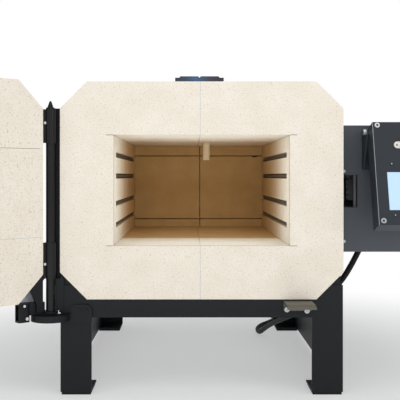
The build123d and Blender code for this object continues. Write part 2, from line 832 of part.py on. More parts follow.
def rail_screws():
    """Small screws in the rail's front flange, and their mates in its side flange."""
    screws = []
    y = FRONT + RAIL_BACK
    x = -HALF - CRADLE_FIT
    side = x - RAIL_SHEET
    small_radius, small_height = SMALL_HEAD
    radius, height = PAN_HEAD
    for up in RAIL_SCREW_HEIGHTS:
        screws.append(bar_y(small_radius, y - small_height, y, side, BASE + up))
        screws.append(bar_x(radius, side - height, side, y + RAIL_SIDE_DEPTH * 0.62, BASE + up))
    inset, up, proud = RAIL_FOOT_SCREW
    face = FRONT - BRACKET_GAP - RAIL_FOOT_SHEET
    screws.append(bar_y(small_radius, face - proud, face, rail_foot_left() + inset, BASE + up))
    return screws


def hinge_base_bracket():
    """Round shelf under the rod, with a rounded tab bolted to the leg."""
    top = BASE + BASE_TOP
    low = top - BASE_PLATE
    right = -LEG_INNER + 1.0
    back = FRONT - BRACKET_GAP
    under = top - SHELF_THICKNESS
    shelf = bar_z(SHELF_RADIUS, under, top, HINGE_X, HINGE_Y)
    shelf -= block(
        HINGE_X - 2 * SHELF_RADIUS,
        HINGE_X + 2 * SHELF_RADIUS,
        back,
        FRONT + SHELF_RADIUS,
        under - OVERCUT,
        top + OVERCUT,
    )
    tab = block(right - TAB_WIDTH, right, back - BASE_PLATE, back, low, low + TAB_HEIGHT)
    tab = fillet(tab.edges().filter_by(Axis.Y).group_by(Axis.Z)[-1], TAB_RADIUS)
    tie = block(HINGE_X, right, back - BASE_PLATE, back, top - TIE_HEIGHT, top)
    return shelf + tab + tie


def base_bolts():
    """Two bolts through the tab into the leg."""
    radius, height = BASE_HEAD
    right = -LEG_INNER + 1.0
    z = BASE + BASE_TOP - BASE_PLATE + TAB_HEIGHT / 2
    y = FRONT - BRACKET_GAP - BASE_PLATE
    return [bar_y(radius, y - height, y, right - step * TAB_WIDTH, z) for step in (0.3, 0.62)]


# Door, drawn closed


def door_envelope():
    """All that the door's firebrick fills."""
    rim = prism_y(octagon(0, DOOR_DROP), DOOR_INNER - RIM_DEPTH, DOOR_INNER)
    inset = SHELL_SHEET + SHELL_FIT
    under = prism_y(octagon(inset, DOOR_DROP), DOOR_OUTER + inset, DOOR_INNER - RIM_DEPTH)
    return rim + under


def door_bricks(side):
    """Half of the door lining: three courses."""
    gap = BRICK_JOINT / 2
    region = (ROOF_SEAM_X + side * gap, side * (HALF + OVERCUT), DOOR_OUTER, DOOR_INNER + OVERCUT)
    half = door_envelope() & block(*region, BASE - 5, TOP + OVERCUT)
    bricks = []
    for low, high in courses(BASE - DOOR_DROP, TOP - DOOR_DROP, BRICK_JOINT):
        bricks.append(half & block(*region, low, high))
    return group([swing_open(brick) for brick in bricks])


def door_shell():
    """Stainless pan over the door's outer face and edges."""
    end = DOOR_INNER - RIM_DEPTH - SHELL_FIT
    pan = prism_y(octagon(0, DOOR_DROP), DOOR_OUTER, end)
    pan -= prism_y(octagon(SHELL_SHEET, DOOR_DROP), DOOR_OUTER + SHELL_SHEET, end + OVERCUT)
    return swing_open(pan)


def hinge_strap(low):
    """Barrel on the rod, web towards the door and a leg along the door's edge."""
    high = low + BARREL_LENGTH
    barrel = bar_z(BARREL_RADIUS, low, high, HINGE_X, HINGE_Y)
    side = -HALF - SHELL_FIT
    back = HINGE_Y + BARREL_WEB / 2
    web = block(HINGE_X, side, back - BARREL_WEB, back, low, high)
    leg = block(side - STRAP_SHEET, side, back - STRAP_LENGTH, back, low, high)
    shape = barrel + web + leg
    return shape - bar_z(ROD_RADIUS + HINGE_RUNNING_FIT, low - OVERCUT, high + OVERCUT, HINGE_X, HINGE_Y)


def strap_screws():
    """Screws in the straps: one in each web and two in each leg."""
    screws = []
    web_radius, web_height = STRAP_HEAD
    radius, height = PAN_HEAD
    side = -HALF - SHELL_FIT - STRAP_SHEET
    back = HINGE_Y + BARREL_WEB / 2
    for low, lift in zip((BASE + UPPER_BARREL_LOW, BASE + LOWER_BARREL_LOW), WEB_SCREW_LIFTS):
        z = low + lift
        screws.append(bar_y(web_radius, back, back + web_height, HINGE_X + BARREL_RADIUS + 2.0, z))
        for share in (0.4, 0.8):
            y = HINGE_Y - share * STRAP_LENGTH
            screws.append(bar_x(radius, side - height, side, y, low + BARREL_LENGTH / 2))
    return screws


def door_corner_plate():
    """Steel plate under the door's lower chamfer at the hinge, down to the arm's lug."""
    edge = -HALF - SHELL_FIT
    chamfer = BASE - DOOR_DROP + CASE_CHAMFER - 1.0
    y = HINGE_Y - BARREL_WEB / 2
    low = BASE - DOOR_DROP - LUG_MARGIN
    top = BASE + LOWER_BARREL_LOW
    lug = BASE + BASE_TOP + LUG_LIFT + STRAP_SHEET
    profile = [
        (edge - STRAP_SHEET, top - STRAP_SHEET),
        (edge - STRAP_SHEET, top),
        (edge + chamfer - top, top),
        (edge + CORNER_PLATE_WIDTH, chamfer - CORNER_PLATE_WIDTH),
        (edge + CORNER_PLATE_FOOT, low),
        (edge + CORNER_PLATE_FOOT, lug),
        (edge, lug),
        (edge, top - 2 * STRAP_SHEET),
    ]
    return prism_y(profile, y, y + BARREL_WEB)


def door_arm():
    """Square tube arm under the door with a lug on the rod."""
    high = BASE - DOOR_DROP - 1.0
    low = high - ARM_HEIGHT
    x0 = HINGE_X + ARM_START
    x1 = x0 + ARM_LENGTH
    y1 = HINGE_Y - ARM_SETBACK
    y0 = y1 - ARM_DEPTH
    arm = block(x0, x1, y0, y1, low, high)
    arm = fillet(arm.edges().filter_by(Axis.Z), ARM_WALL)
    arm -= block(
        x0 - OVERCUT, x1 + OVERCUT, y0 + ARM_WALL, y1 - ARM_WALL, low + ARM_WALL, high - ARM_WALL
    )
    lug_low = BASE + BASE_TOP + LUG_LIFT
    lug_high = lug_low + STRAP_SHEET
    lug = bar_z(BARREL_RADIUS + LUG_MARGIN, lug_low, lug_high, HINGE_X, HINGE_Y)
    lug += block(HINGE_X, x0 + ARM_WALL, y1 - LUG_WIDTH, HINGE_Y - LUG_SETBACK, lug_low, lug_high)
    web_back = HINGE_Y - BARREL_WEB / 2 - BRACKET_GAP
    web = block(HINGE_X + BARREL_RADIUS, x0 + ARM_WALL, y1 - LUG_WIDTH, web_back, lug_low, high)
    bore = ROD_RADIUS + HINGE_RUNNING_FIT
    return arm + lug + web - bar_z(bore, lug_low - OVERCUT, lug_high + OVERCUT, HINGE_X, HINGE_Y)


def door_leaf():
    """Zinc plated leaf that ties the arm to the door's shell."""
    chamfer = BASE - DOOR_DROP + CASE_CHAMFER - SHELL_SHEET
    y = HINGE_Y - LEAF_SETBACK
    low = BASE - DOOR_DROP - BRACKET_GAP - BRICK_JOINT
    high = BASE + LEAF_TOP
    x0 = -HALF - PAN_HEAD[0] * 2
    profile = [(x0, low), (chamfer - HALF - low, low), (chamfer - HALF - high, high), (x0, high)]
    return prism_y(profile, y - LEAF_SHEET, y)


def arm_bolts():
    """Bright bolts on the arm's inner face."""
    y = HINGE_Y - ARM_SETBACK
    x = HINGE_X + ARM_START
    high = BASE - DOOR_DROP - 1.0
    radius, height = ARM_HEAD
    small_radius, small_height = STRAP_HEAD
    large = bar_y(radius, y, y + height, x + ARM_LENGTH * 0.32, high - ARM_HEIGHT * 0.8)
    small = bar_y(small_radius, y, y + small_height, x + ARM_LENGTH * 0.55, high - ARM_HEIGHT / 8)
    return [large, small]


# Latch on the door, drawn closed with the cam down


def latch_bracket():
    """Folded bracket on the door's free edge that carries the latch shaft."""
    side = HALF + SHELL_FIT
    low = LATCH_Z - LATCH_BRACKET_HALF
    high = LATCH_Z + LATCH_BRACKET_HALF
    start = DOOR_OUTER + LATCH_BRACKET_INSET
    end = DOOR_INNER - RIM_DEPTH - 2 * LATCH_BRACKET_INSET
    shape = block(side, side + LATCH_PLATE, start, end, low, high)
    for y in (start, end - LATCH_PLATE):
        shape += block(side, LATCH_X + LATCH_CHEEK, y, y + LATCH_PLATE, low, high)
    bore = LATCH_SHAFT_DIAMETER / 2 + LATCH_FIT
    return shape - bar_y(bore, DOOR_OUTER, DOOR_INNER, LATCH_X, LATCH_Z)


def latch_bracket_screws():
    """Screws that hold the latch bracket to the door's edge."""
    radius, height = SMALL_HEAD
    x = HALF + SHELL_FIT + LATCH_PLATE
    middle = (DOOR_OUTER + DOOR_INNER) / 2
    screws = []
    for along in LATCH_SCREWS_ALONG:
        for up in LATCH_SCREWS_UP:
            screws.append(bar_x(radius, x, x + height, middle + along, LATCH_Z + up))
    return screws


def latch_shaft():
    """Shaft through the bracket with the cam on its inner end."""
    start = DOOR_OUTER - HUB_LENGTH
    end = FRONT + CAM_BACK + CAM_THICKNESS
    half = CAM_WIDTH / 2
    shaft = bar_y(LATCH_SHAFT_DIAMETER / 2, start, end, LATCH_X, LATCH_Z)
    cam = block(LATCH_X - half, LATCH_X + half, end - CAM_THICKNESS, end, LATCH_Z - CAM_LENGTH, LATCH_Z)
    return shaft + cam


def lever_y():
    """Y of the lever's middle line, clear of the door's outer face."""
    return DOOR_OUTER - WASHER_SPACE - HUB_LENGTH + LEVER_INSET


def latch_lever():
    """Hub and lever arm outside the door, pointing down at rest."""
    end = DOOR_OUTER - WASHER_SPACE
    start = end - HUB_LENGTH
    hub = bar_y(HUB_DIAMETER / 2, start, end, LATCH_X, LATCH_Z)
    hub += bar_z(LEVER_DIAMETER / 2, LATCH_Z - LEVER_LENGTH, LATCH_Z, LATCH_X, lever_y())
    bore = LATCH_SHAFT_DIAMETER / 2
    return hub - bar_y(bore, DOOR_OUTER - HUB_LENGTH, end + OVERCUT, LATCH_X, LATCH_Z)


def latch_knob():
    """Ball knob screwed on the lever."""
    z = LATCH_Z - LEVER_LENGTH - KNOB_DIAMETER / 2 + KNOB_OVERLAP
    ball = Pos(LATCH_X, lever_y(), z) * Sphere(KNOB_DIAMETER / 2)
    return ball - bar_z(LEVER_DIAMETER / 2, LATCH_Z - LEVER_LENGTH, LATCH_Z, LATCH_X, lever_y())


# Door rest


def door_rest():
    """Folded shelf on the front beam that takes the closed door's weight."""
    top = BASE - DOOR_DROP - REST_GAP
    low = top - REST_SHEET
    y0 = FRONT - REST_REACH
    back = FRONT - BRACKET_GAP
    profile = [
        (back, top),
        (y0, top),
        (y0 - REST_LIP, top - REST_FALL),
        (y0 - REST_LIP, top - REST_FALL - REST_SHEET),
        (y0, low),
        (back - REST_SHEET, low),
        (back - REST_SHEET, BASE - REST_DROP),
        (back, BASE - REST_DROP),
    ]
    return prism_x(profile, REST_RIGHT - REST_WIDTH, REST_RIGHT)


def rest_bolts():
    """Two bright socket bolts that hold the rest to the beam."""
    y = FRONT - BRACKET_GAP - REST_SHEET
    bolts = []
    for inset, drop in REST_BOLTS:
        x = REST_RIGHT - inset
        head = bar_y(REST_BOLT_RADIUS, y - HEAD_HEIGHT, y, x, BASE - drop)
        socket = bar_y(BOLT_DIAMETER / 4, y - HEAD_HEIGHT - OVERCUT, y - HEAD_HEIGHT / 2, x, BASE - drop)
        bolts.append(head - socket)
    return bolts


# Control enclosure


def control_plate():
    """Front plate of the enclosure with the latch window."""
    y0 = FRONT + PLATE_BACK
    left = HALF + PLATE_GAP
    plate = block(left, PLATE_RIGHT, y0, y0 + PLATE_SHEET, BASE + PLATE_LOW, BASE + PLATE_HIGH)
    return plate - block(
        left - OVERCUT,
        LATCH_WINDOW_RIGHT,
        y0 - OVERCUT,
        y0 + PLATE_SHEET + OVERCUT,
        BASE + LATCH_WINDOW_LOW,
        BASE + LATCH_WINDOW_HIGH,
    )


def latch_keeper():
    """Three-sided liner behind the window, slotted for the cam."""
    y0 = FRONT + PLATE_BACK + PLATE_SHEET
    y1 = y0 + KEEPER_DEPTH
    left = HALF + PLATE_GAP + HOUSING_SHEET + SHELL_FIT
    right = LATCH_WINDOW_RIGHT + KEEPER_SHEET
    low = BASE + LATCH_WINDOW_LOW
    high = BASE + LATCH_WINDOW_HIGH
    shape = block(left, right, y0, y1, low - KEEPER_SHEET, high + KEEPER_SHEET)
    shape -= block(left - OVERCUT, LATCH_WINDOW_RIGHT, y0 - OVERCUT, y1 + OVERCUT, low, high)
    cam_y = FRONT + CAM_BACK
    return shape - block(
        LATCH_WINDOW_RIGHT - OVERCUT,
        right + OVERCUT,
        cam_y - KEEPER_SLOT_MARGIN,
        cam_y + CAM_THICKNESS + KEEPER_SLOT_MARGIN,
        LATCH_Z - CAM_LENGTH,
        LATCH_Z + CAM_WIDTH / 2 + KEEPER_SLOT_MARGIN,
    )


def control_housing():
    """Sheet box behind the front plate, open to it, with louvres and a notch for the latch."""
    y0 = FRONT + PLATE_BACK + PLATE_SHEET
    y1 = y0 + HOUSING_DEPTH
    left = HALF + PLATE_GAP
    low = BASE + HOUSING_LOW
    high = BASE + PLATE_HIGH
    sheet = HOUSING_SHEET
    shape = block(left, PLATE_RIGHT, y0, y1, low, high)
    shape -= block(left + sheet, PLATE_RIGHT - sheet, y0 - OVERCUT, y1 - sheet, low + sheet, high - sheet)
    for row in range(LOUVRE_COUNT):
        z = low + LOUVRE_INSET + row * 3 * LOUVRE_HEIGHT
        shape -= block(
            PLATE_RIGHT - 2 * sheet,
            PLATE_RIGHT + OVERCUT,
            y0 + LOUVRE_INSET,
            y1 - LOUVRE_INSET,
            z,
            z + LOUVRE_HEIGHT,
        )
    x, back, _ = CORD_EXIT
    shape -= bar_z(CORD_RADIUS + CORD_HOLE_FIT, low - OVERCUT, low + 2 * sheet, x, FRONT + back)
    return shape - block(
        left - OVERCUT,
        left + 2 * sheet,
        y0 - OVERCUT,
        FRONT + LATCH_NOTCH_BACK,
        BASE + LATCH_NOTCH_LOW,
        BASE + LATCH_NOTCH_HIGH,
    )


def housing_back():
    """Y of the housing's rear wall, inside."""
    return FRONT + PLATE_BACK + PLATE_SHEET + HOUSING_DEPTH - HOUSING_SHEET


def power_relay():
    """Relay block and finned heat sink on the housing's rear wall."""
    width, depth, height = SINK_SIZE
    y1 = housing_back()
    y0 = y1 - depth
    x0 = HALF + PLATE_GAP + RELAY_LEFT
    low = BASE + HOUSING_LOW + RELAY_LIFT
    sink = block(x0, x0 + width, y0, y1, low, low + height)
    pitch = (height - FIN_SHEET) / (SINK_FINS - 1)
    for row in range(SINK_FINS):
        z = low + row * pitch
        sink += block(x0, x0 + width, y0 - FIN_REACH, y0, z, z + FIN_SHEET)
    relay_width, relay_depth, relay_height = RELAY_SIZE
    x = x0 + (width - relay_width) / 2
    z = low + (height - relay_height) / 2
    front = y0 - FIN_REACH
    relay = block(x, x + relay_width, front - relay_depth, front, z, z + relay_height)
    return group([sink, relay])


def terminal_strip():
    """Screw terminals inside the housing."""
    width, depth, height = STRIP_SIZE
    y1 = housing_back()
    x0 = PLATE_RIGHT - STRIP_FROM_RIGHT
    low = BASE + HOUSING_LOW + STRIP_LIFT
    strip = block(x0, x0 + width, y1 - depth, y1, low, low + height)
    radius, deep = STRIP_HOLE
    front = y1 - depth
    for row in range(STRIP_WAYS):
        z = low + (row + 0.5) * height / STRIP_WAYS
        strip -= bar_y(radius, front - OVERCUT, front + deep, x0 + width / 2, z)
    return strip


def control_screws():
    """Screws along the plate's left edge and spacers to the case."""
    y = FRONT + PLATE_BACK
    radius, height = SMALL_HEAD
    left = HALF + PLATE_GAP
    parts = [bar_y(radius, y - height, y, left + 4 * radius, BASE + up) for up in PLATE_SCREW_HEIGHTS]
    for back in SPACER_BACKS:
        for up in SPACER_HEIGHTS:
            parts.append(bar_x(SPACER_RADIUS, HALF, left, FRONT + back, BASE + up))
    return parts


def cord_gland():
    """Tapered strain relief under the housing, with its nut and locknut."""
    x, back, up = CORD_EXIT
    high = BASE + HOUSING_LOW
    low = BASE + up
    y = FRONT + back
    nut = Pos(x, y, high - GLAND_NUT) * extrude(RegularPolygon(NUT_FLATS_RADIUS, 6), amount=GLAND_NUT)
    length = high - GLAND_NUT - low
    small, large = GLAND_TAPER
    taper = Pos(x, y, low + length / 2) * Cone(small, large, length)
    inside = bar_z(CORD_RADIUS, high, high + GLAND_INSIDE, x, y)
    radius, thick = GLAND_LOCKNUT
    flange = bar_z(radius, high + HOUSING_SHEET, high + HOUSING_SHEET + thick, x, y)
    return nut + taper + inside + flange


# Tilting display, drawn upright and then tilted


def tilt_display(shape):
    """Lean the upright display box back and hang it at its place."""
    back, up = DISPLAY_FRONT_TOP
    place = Pos(DISPLAY_LEFT, FRONT + back, BASE + up)
    return place * Rot(-DISPLAY_TILT, 0, 0) * shape


def display_housing():
    """Moulded-corner sheet box, open at the face."""
    wall = DISPLAY_WALL
    start = FACE_PLATE
    body = block(0, DISPLAY_WIDTH, start, DISPLAY_DEPTH, -DISPLAY_HEIGHT, 0)
    body -= block(
        wall,
        DISPLAY_WIDTH - wall,
        start - OVERCUT,
        DISPLAY_DEPTH - wall,
        -DISPLAY_HEIGHT + wall,
        -wall,
    )
    return tilt_display(body)


def display_face():
    """Face plate with the screen window and the switch hole."""
    plate = block(0, DISPLAY_WIDTH, 0, FACE_PLATE, -DISPLAY_HEIGHT, 0)
    x0 = SCREEN_LEFT - SCREEN_FIT
    x1 = SCREEN_LEFT + SCREEN_WIDTH + SCREEN_FIT
    z1 = SCREEN_FIT - SCREEN_TOP
    z0 = z1 - SCREEN_HEIGHT - 2 * SCREEN_FIT
    through = FACE_PLATE + OVERCUT
    plate -= block(x0, x1, -OVERCUT, through, z0, z1)
    return tilt_display(
        plate - bar_y(TOGGLE_HOLE_DIAMETER / 2, -OVERCUT, through, SWITCH_FROM_LEFT, -SWITCH_FROM_TOP)
    )


def touch_screen():
    """Colour touch screen set in the face."""
    x1 = SCREEN_LEFT + SCREEN_WIDTH
    glass = block(SCREEN_LEFT, x1, SCREEN_RECESS, SCREEN_DEPTH, -SCREEN_TOP - SCREEN_HEIGHT, -SCREEN_TOP)
    return tilt_display(glass)


def display_screws():
    """Ringed corner screws and the screen's four small screws."""
    parts = []
    radius, height = CORNER_HEAD
    recess, deep = CORNER_RECESS
    above, below = CORNER_INSET_Z
    for x in (CORNER_INSET_X, DISPLAY_WIDTH - CORNER_INSET_X):
        for z in (above, DISPLAY_HEIGHT - below):
            head = bar_y(radius, -height, 0, x, -z)
            parts.append(head - bar_y(recess, -height - OVERCUT, deep - height, x, -z))
    radius, height = FACE_HEAD
    for x in (SCREEN_LEFT + FACE_SCREW_INSET, SCREEN_LEFT + SCREEN_WIDTH - FACE_SCREW_INSET):
        for z in (SCREEN_TOP - FACE_SCREW_ABOVE, SCREEN_TOP + SCREEN_HEIGHT + FACE_SCREW_BELOW):
            parts.append(bar_y(radius, -height, 0, x, -z))
    return [tilt_display(part) for part in parts]


def pivot_centre():
    """Y and Z of the tilt axis, near the box's upper back edge."""
    angle = math.radians(DISPLAY_TILT)
    back, up = DISPLAY_FRONT_TOP
    y = FRONT + back + PIVOT_REACH * math.cos(angle) - PIVOT_INSET * math.sin(angle)
    z = BASE + up - PIVOT_REACH * math.sin(angle) - PIVOT_INSET * math.cos(angle)
    return y, z


def tilt_bracket():
    """Folded bracket with an ear on each side of the display."""
    y, z = pivot_centre()
    plate_y = FRONT + PLATE_BACK - BRACKET_GAP
    left = DISPLAY_LEFT - EAR_GAP - EAR_SHEET
    right = DISPLAY_LEFT + DISPLAY_WIDTH + EAR_GAP + EAR_SHEET
    low = z - EAR_HEIGHT
    high = z + EAR_RISE
    front = y - 1.5 * EAR_RISE
    shape = block(left, right, plate_y - EAR_SHEET, plate_y, low, high)
    profile = [
        (plate_y, low),
        (plate_y, high),
        (front, high),
        (front, z - 2 * EAR_RISE),
        (plate_y - 2 * EAR_RISE, low),
    ]
    for x in (left, right - EAR_SHEET):
        shape += prism_x(profile, x, x + EAR_SHEET)
    return shape - bar_x(PIVOT_BOLT_RADIUS + EAR_FIT, left - OVERCUT, right + OVERCUT, y, z)


def tilt_bolts():
    """Pivot bolts with washers on both sides of the display."""
    y, z = pivot_centre()
    radius, height = PIVOT_HEAD
    parts = []
    for side, x in ((-1, DISPLAY_LEFT), (1, DISPLAY_LEFT + DISPLAY_WIDTH)):
        out = x + side * (EAR_GAP + EAR_SHEET)
        seat = out + side * BRACKET_GAP
        shank = bar_x(PIVOT_BOLT_RADIUS, x, seat, y, z)
        head = bar_x(radius, seat, seat + side * height, y, z)
        washer = bar_x(radius, x, x + side * (EAR_GAP - BRACKET_GAP), y, z)
        parts.append(shank + head + washer)
    return parts


def switch_plate():
    """Oval plate around the power toggle, with two countersunk marks."""
    slot = SlotOverall(ESCUTCHEON_LENGTH, ESCUTCHEON_HEIGHT)
    x = SWITCH_FROM_LEFT
    z = -SWITCH_FROM_TOP
    plate = Pos(x, 0, z) * extrude(Plane.XZ * slot, amount=ESCUTCHEON_SHEET)
    plate -= bar_y(TOGGLE_HOLE_DIAMETER / 2, -2 * ESCUTCHEON_SHEET, OVERCUT, x, z)
    for side in (-1, 1):
        mark = x + side * (ESCUTCHEON_LENGTH - TOGGLE_HOLE_DIAMETER) / 2
        plate -= bar_y(1.2, -2 * ESCUTCHEON_SHEET, -ESCUTCHEON_SHEET / 2, mark, z)
    return tilt_display(plate)


def switch_body():
    """Body of the toggle switch behind the face, on its threaded neck."""
    width, depth, height = SWITCH_SIZE
    x = SWITCH_FROM_LEFT
    z = -SWITCH_FROM_TOP
    y = FACE_PLATE + SWITCH_SETBACK
    body = block(x - width / 2, x + width / 2, y, y + depth, z - height / 2, z + height / 2)
    neck = bar_y(TOGGLE_HOLE_DIAMETER * 0.75, FACE_PLATE, y, x, z)
    neck -= bar_y(TOGGLE_HOLE_DIAMETER / 2, 0, y, x, z)
    return tilt_display(body + neck)


def toggle_lever():
    """Bat lever of the power switch on its cross pin, leaning down when off."""
    bat = Pos(0, 0, TOGGLE_LENGTH / 2) * Cone(TOGGLE_DIAMETER / 3, TOGGLE_DIAMETER / 2, TOGGLE_LENGTH)
    bat += Pos(0, 0, TOGGLE_LENGTH) * Sphere(TOGGLE_DIAMETER / 2)
    bat = Rot(90 + TOGGLE_LEAN, 0, 0) * bat
    bat += bar_x(TOGGLE_PIN_RADIUS, -TOGGLE_PIN_LENGTH / 2, TOGGLE_PIN_LENGTH / 2, 0, 0)
    return tilt_display(Pos(SWITCH_FROM_LEFT, FACE_PLATE / 2, -SWITCH_FROM_TOP) * bat)


# Power cord


def cord_route():
    """Points of the free stretch, from the gland to the coil, chosen by hand."""
    behind = [
        CORD_EXIT,
        (239.5, 91.0, 54.0),
        (214.5, 97.0, 8.0),
        (183.0, 138.0, -27.0),
        (163.0, 202.0, -53.0),
        (147.0, 268.0, -74.0),
        (136.0, 333.0, -93.0),
        (127.0, 392.0, -113.0),
        (119.0, 436.0, CORD_RADIUS - BASE),
        (118.0, 480.0, CORD_RADIUS - BASE),
        (130.0, 520.0, CORD_RADIUS - BASE),
        (151.0, 556.0, CORD_RADIUS - BASE),
    ]
    points = [(x, FRONT + back, BASE + up) for x, back, up in behind]
    x, y, z = coil_start()
    return points + [(x, y - LEAD_IN, z), (x, y, z)]


def coil_start():
    """Where the free stretch meets the coil."""
    y = FRONT + STAND_DEPTH + COIL_BEHIND - CORD_DIAMETER
    return COIL_X - COIL_OUTER_RADIUS, y, CORD_RADIUS


def tube_along(path, start, towards):
    """A round cord swept along a path."""
    section = Plane(origin=start, z_dir=towards) * Circle(CORD_RADIUS)
    return sweep(section, path=path)


def cord_run():
    """Free stretch of the cord as a tube on tangent arcs."""
    points = [Vector(*p) for p in cord_route()]
    radii = []
    for before, corner, after in zip(points, points[1:], points[2:]):
        first = corner - before
        second = after - corner
        turn = math.radians(first.get_angle(second))
        shorter = min(first.length, second.length)
        radii.append(0.45 * shorter / math.tan(turn / 2))
    print("cord radii", [round(r, 1) for r in radii])
    path = FilletPolyline(*points, radius=radii)
    tube = tube_along(path, points[0], points[1] - points[0])
    expected = math.pi * CORD_RADIUS**2 * path.length
    print("cord run length", round(path.length, 1), "volume ratio", round(tube.volume / expected, 5))
    return tube


def coil_arcs():
    """Half turns of the coil: start radius, end radius, start height, end height."""
    inward = [COIL_OUTER_RADIUS - n * COIL_PITCH / 2 for n in range(COIL_HALF_TURNS + 1)]
    low = CORD_RADIUS
    high = CORD_RADIUS + COIL_LAYER
    turns = [(a, b, low, low) for a, b in zip(inward, inward[1:])]
    turns.append((inward[-1], inward[-1], low, high))
    outward = inward[::-1]
    turns += [(a, b, high, high) for a, b in zip(outward, outward[1:])]
    return turns


def coil_path():
    """The coil's edges, from its lead-in to the plug, with points along them."""
    x, y, z = coil_start()
    centre_y = y + CORD_DIAMETER
    edges = [Line((x, y, z), (x, centre_y, z))]
    samples = []
    side = -1
    for start, end, z0, z1 in coil_arcs():
        a = Vector(COIL_X + side * start, centre_y, z0)
        b = Vector(COIL_X - side * end, centre_y, z1)
        middle = (a + b) / 2
        radius = (b - a).length / 2
        across = (b - a).normalized()
        forward = Vector(0, -side * 1.0, 0)
        edges.append(ThreePointArc(a, middle + forward * radius, b))
        for step in range(24):
            angle = math.pi * step / 24
            sideways = across * (radius * math.cos(angle))
            samples.append(middle - sideways + forward * (radius * math.sin(angle)))
        side = -side
    last = Vector(COIL_X + side * coil_arcs()[-1][1], centre_y, coil_arcs()[-1][3])
    heading = Vector(0, side * -1.0, 0)
    edges.append(Line(last, last + heading * CORD_DIAMETER))
    return edges, samples, last, heading


def cord_coil():
    """The put-away length: one unbroken tube in two layers of turns."""
    edges, samples, _, _ = coil_path()
    path = Wire(edges)
    least = min(
        (p - q).length
        for i, p in enumerate(samples)
        for q in samples[i + 16 :]
    )
    print("coil length", round(path.length, 1), "least gap to itself", round(least - CORD_DIAMETER, 2))
    tube = tube_along(path, coil_start(), Vector(0, 1, 0))
    expected = math.pi * CORD_RADIUS**2 * path.length
    print("coil volume ratio", round(tube.volume / expected, 5))
    return tube


def plug():
    """Moulded plug at the end of the coil: tapered neck and body."""
    _, _, last, heading = coil_path()
    start = last + heading * CORD_DIAMETER
    plane = Plane(origin=start, z_dir=heading)
    neck = plane * Pos(0, 0, PLUG_NECK / 2) * Cone(CORD_RADIUS + 0.8, CORD_RADIUS + 4.0, PLUG_NECK)
    radius = PLUG_DIAMETER / 2
    body = plane * Pos(0, 0, PLUG_NECK + PLUG_LENGTH / 2) * Cylinder(radius, PLUG_LENGTH)
    body = chamfer(body.edges().filter_by(GeomType.CIRCLE), 2.5)
    return neck + body


def plug_blades():
    """Two flat blades and a round earth pin."""
    _, _, last, heading = coil_path()
    start = last + heading * (CORD_DIAMETER + PLUG_NECK + PLUG_LENGTH)
    plane = Plane(origin=start, x_dir=(1, 0, 0), z_dir=heading)
    parts = []
    for x in (-BLADE_OFFSET, BLADE_OFFSET):
        blade = Box(BLADE_SHEET, BLADE_WIDTH, BLADE_LENGTH)
        parts.append(plane * Pos(x, BLADE_RISE, BLADE_LENGTH / 2) * blade)
    parts.append(plane * Pos(0, -PIN_DROP, PIN_LENGTH / 2) * Cylinder(PIN_RADIUS, PIN_LENGTH))
    return group(parts)


def build():
    """Every node of the oven by name."""
    right = stand_side()
    saddle = cradle()
    nodes = {
        "stand_side_right": right,
        "stand_side_left": mirror_x(right),
        "cradle_right": saddle,
        "cradle_left": mirror_x(saddle),
        "front_beam": beam(FRONT),
        "rear_beam": beam(STAND_BACK - BEAM_SIZE),
        "foot_pads": foot_pads(),
        "frame_bolts": group(side_bolts() + cover_screws() + rail_screws() + base_bolts()),
        "case_shell": case_shell(),
        "case_back_panel": case_back_panel(),
        "rear_terminal_cover": rear_terminal_cover(),
        "roof_brick_left": roof_brick(-1),
        "roof_brick_right": roof_brick(1),
        "floor_brick_left": floor_brick(-1),
        "floor_brick_right": floor_brick(1),
        "side_brick_left": side_brick(-1),
        "side_brick_right": side_brick(1),
        "back_bricks_left": back_bricks(-1),
        "back_bricks_right": back_bricks(1),
        "element_left": element(-1),
        "element_right": element(1),
        "element_bushings": element_bushings(),
        "thermocouple_tube": thermocouple_tube(),
        "thermocouple_block": thermocouple_block(),
        "thermocouple_guard": thermocouple_guard(),
        "guard_post": guard_post(),
        "hinge_rod": group([hinge_rod(), hinge_collar()]),
        "hinge_rail": hinge_rail(),
        "hinge_base_bracket": hinge_base_bracket(),
        "door_bricks_hinge_side": door_bricks(-1),
        "door_bricks_latch_side": door_bricks(1),
        "door_shell": door_shell(),
        "hinge_strap_upper": swing_open(hinge_strap(BASE + UPPER_BARREL_LOW)),
        "hinge_strap_lower": swing_open(hinge_strap(BASE + LOWER_BARREL_LOW)),
        "door_arm": group([swing_open(door_arm()), swing_open(door_corner_plate())]),
        "door_leaf": swing_open(door_leaf()),
        "door_screws": group([swing_open(s) for s in strap_screws() + arm_bolts() + latch_bracket_screws()]),
        "latch_bracket": swing_open(latch_bracket()),
        "latch_shaft": swing_open(latch_shaft()),
        "latch_lever": swing_open(latch_lever()),
        "latch_knob": swing_open(latch_knob()),
        "door_rest": door_rest(),
        "control_plate": control_plate(),
        "latch_keeper": latch_keeper(),
        "control_housing": control_housing(),
        "power_relay": power_relay(),
        "terminal_strip": terminal_strip(),
        "bright_bolts": group(control_screws() + rest_bolts()),
        "cord_gland": cord_gland(),
        "display_housing": display_housing(),
        "display_face": display_face(),
        "touch_screen": touch_screen(),
        "display_screws": group(display_screws() + tilt_bolts()),
        "tilt_bracket": tilt_bracket(),
        "switch_plate": group([switch_plate(), switch_body()]),
        "toggle_lever": toggle_lever(),
        "cord_run": cord_run(),
        "cord_coil": cord_coil(),
        "plug": plug(),
        "plug_blades": plug_blades(),
    }
    return nodes


os.makedirs("parts", exist_ok=True)
for name, shape in build().items():
    export_step(shape, f"parts/{name}.step")
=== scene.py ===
import math

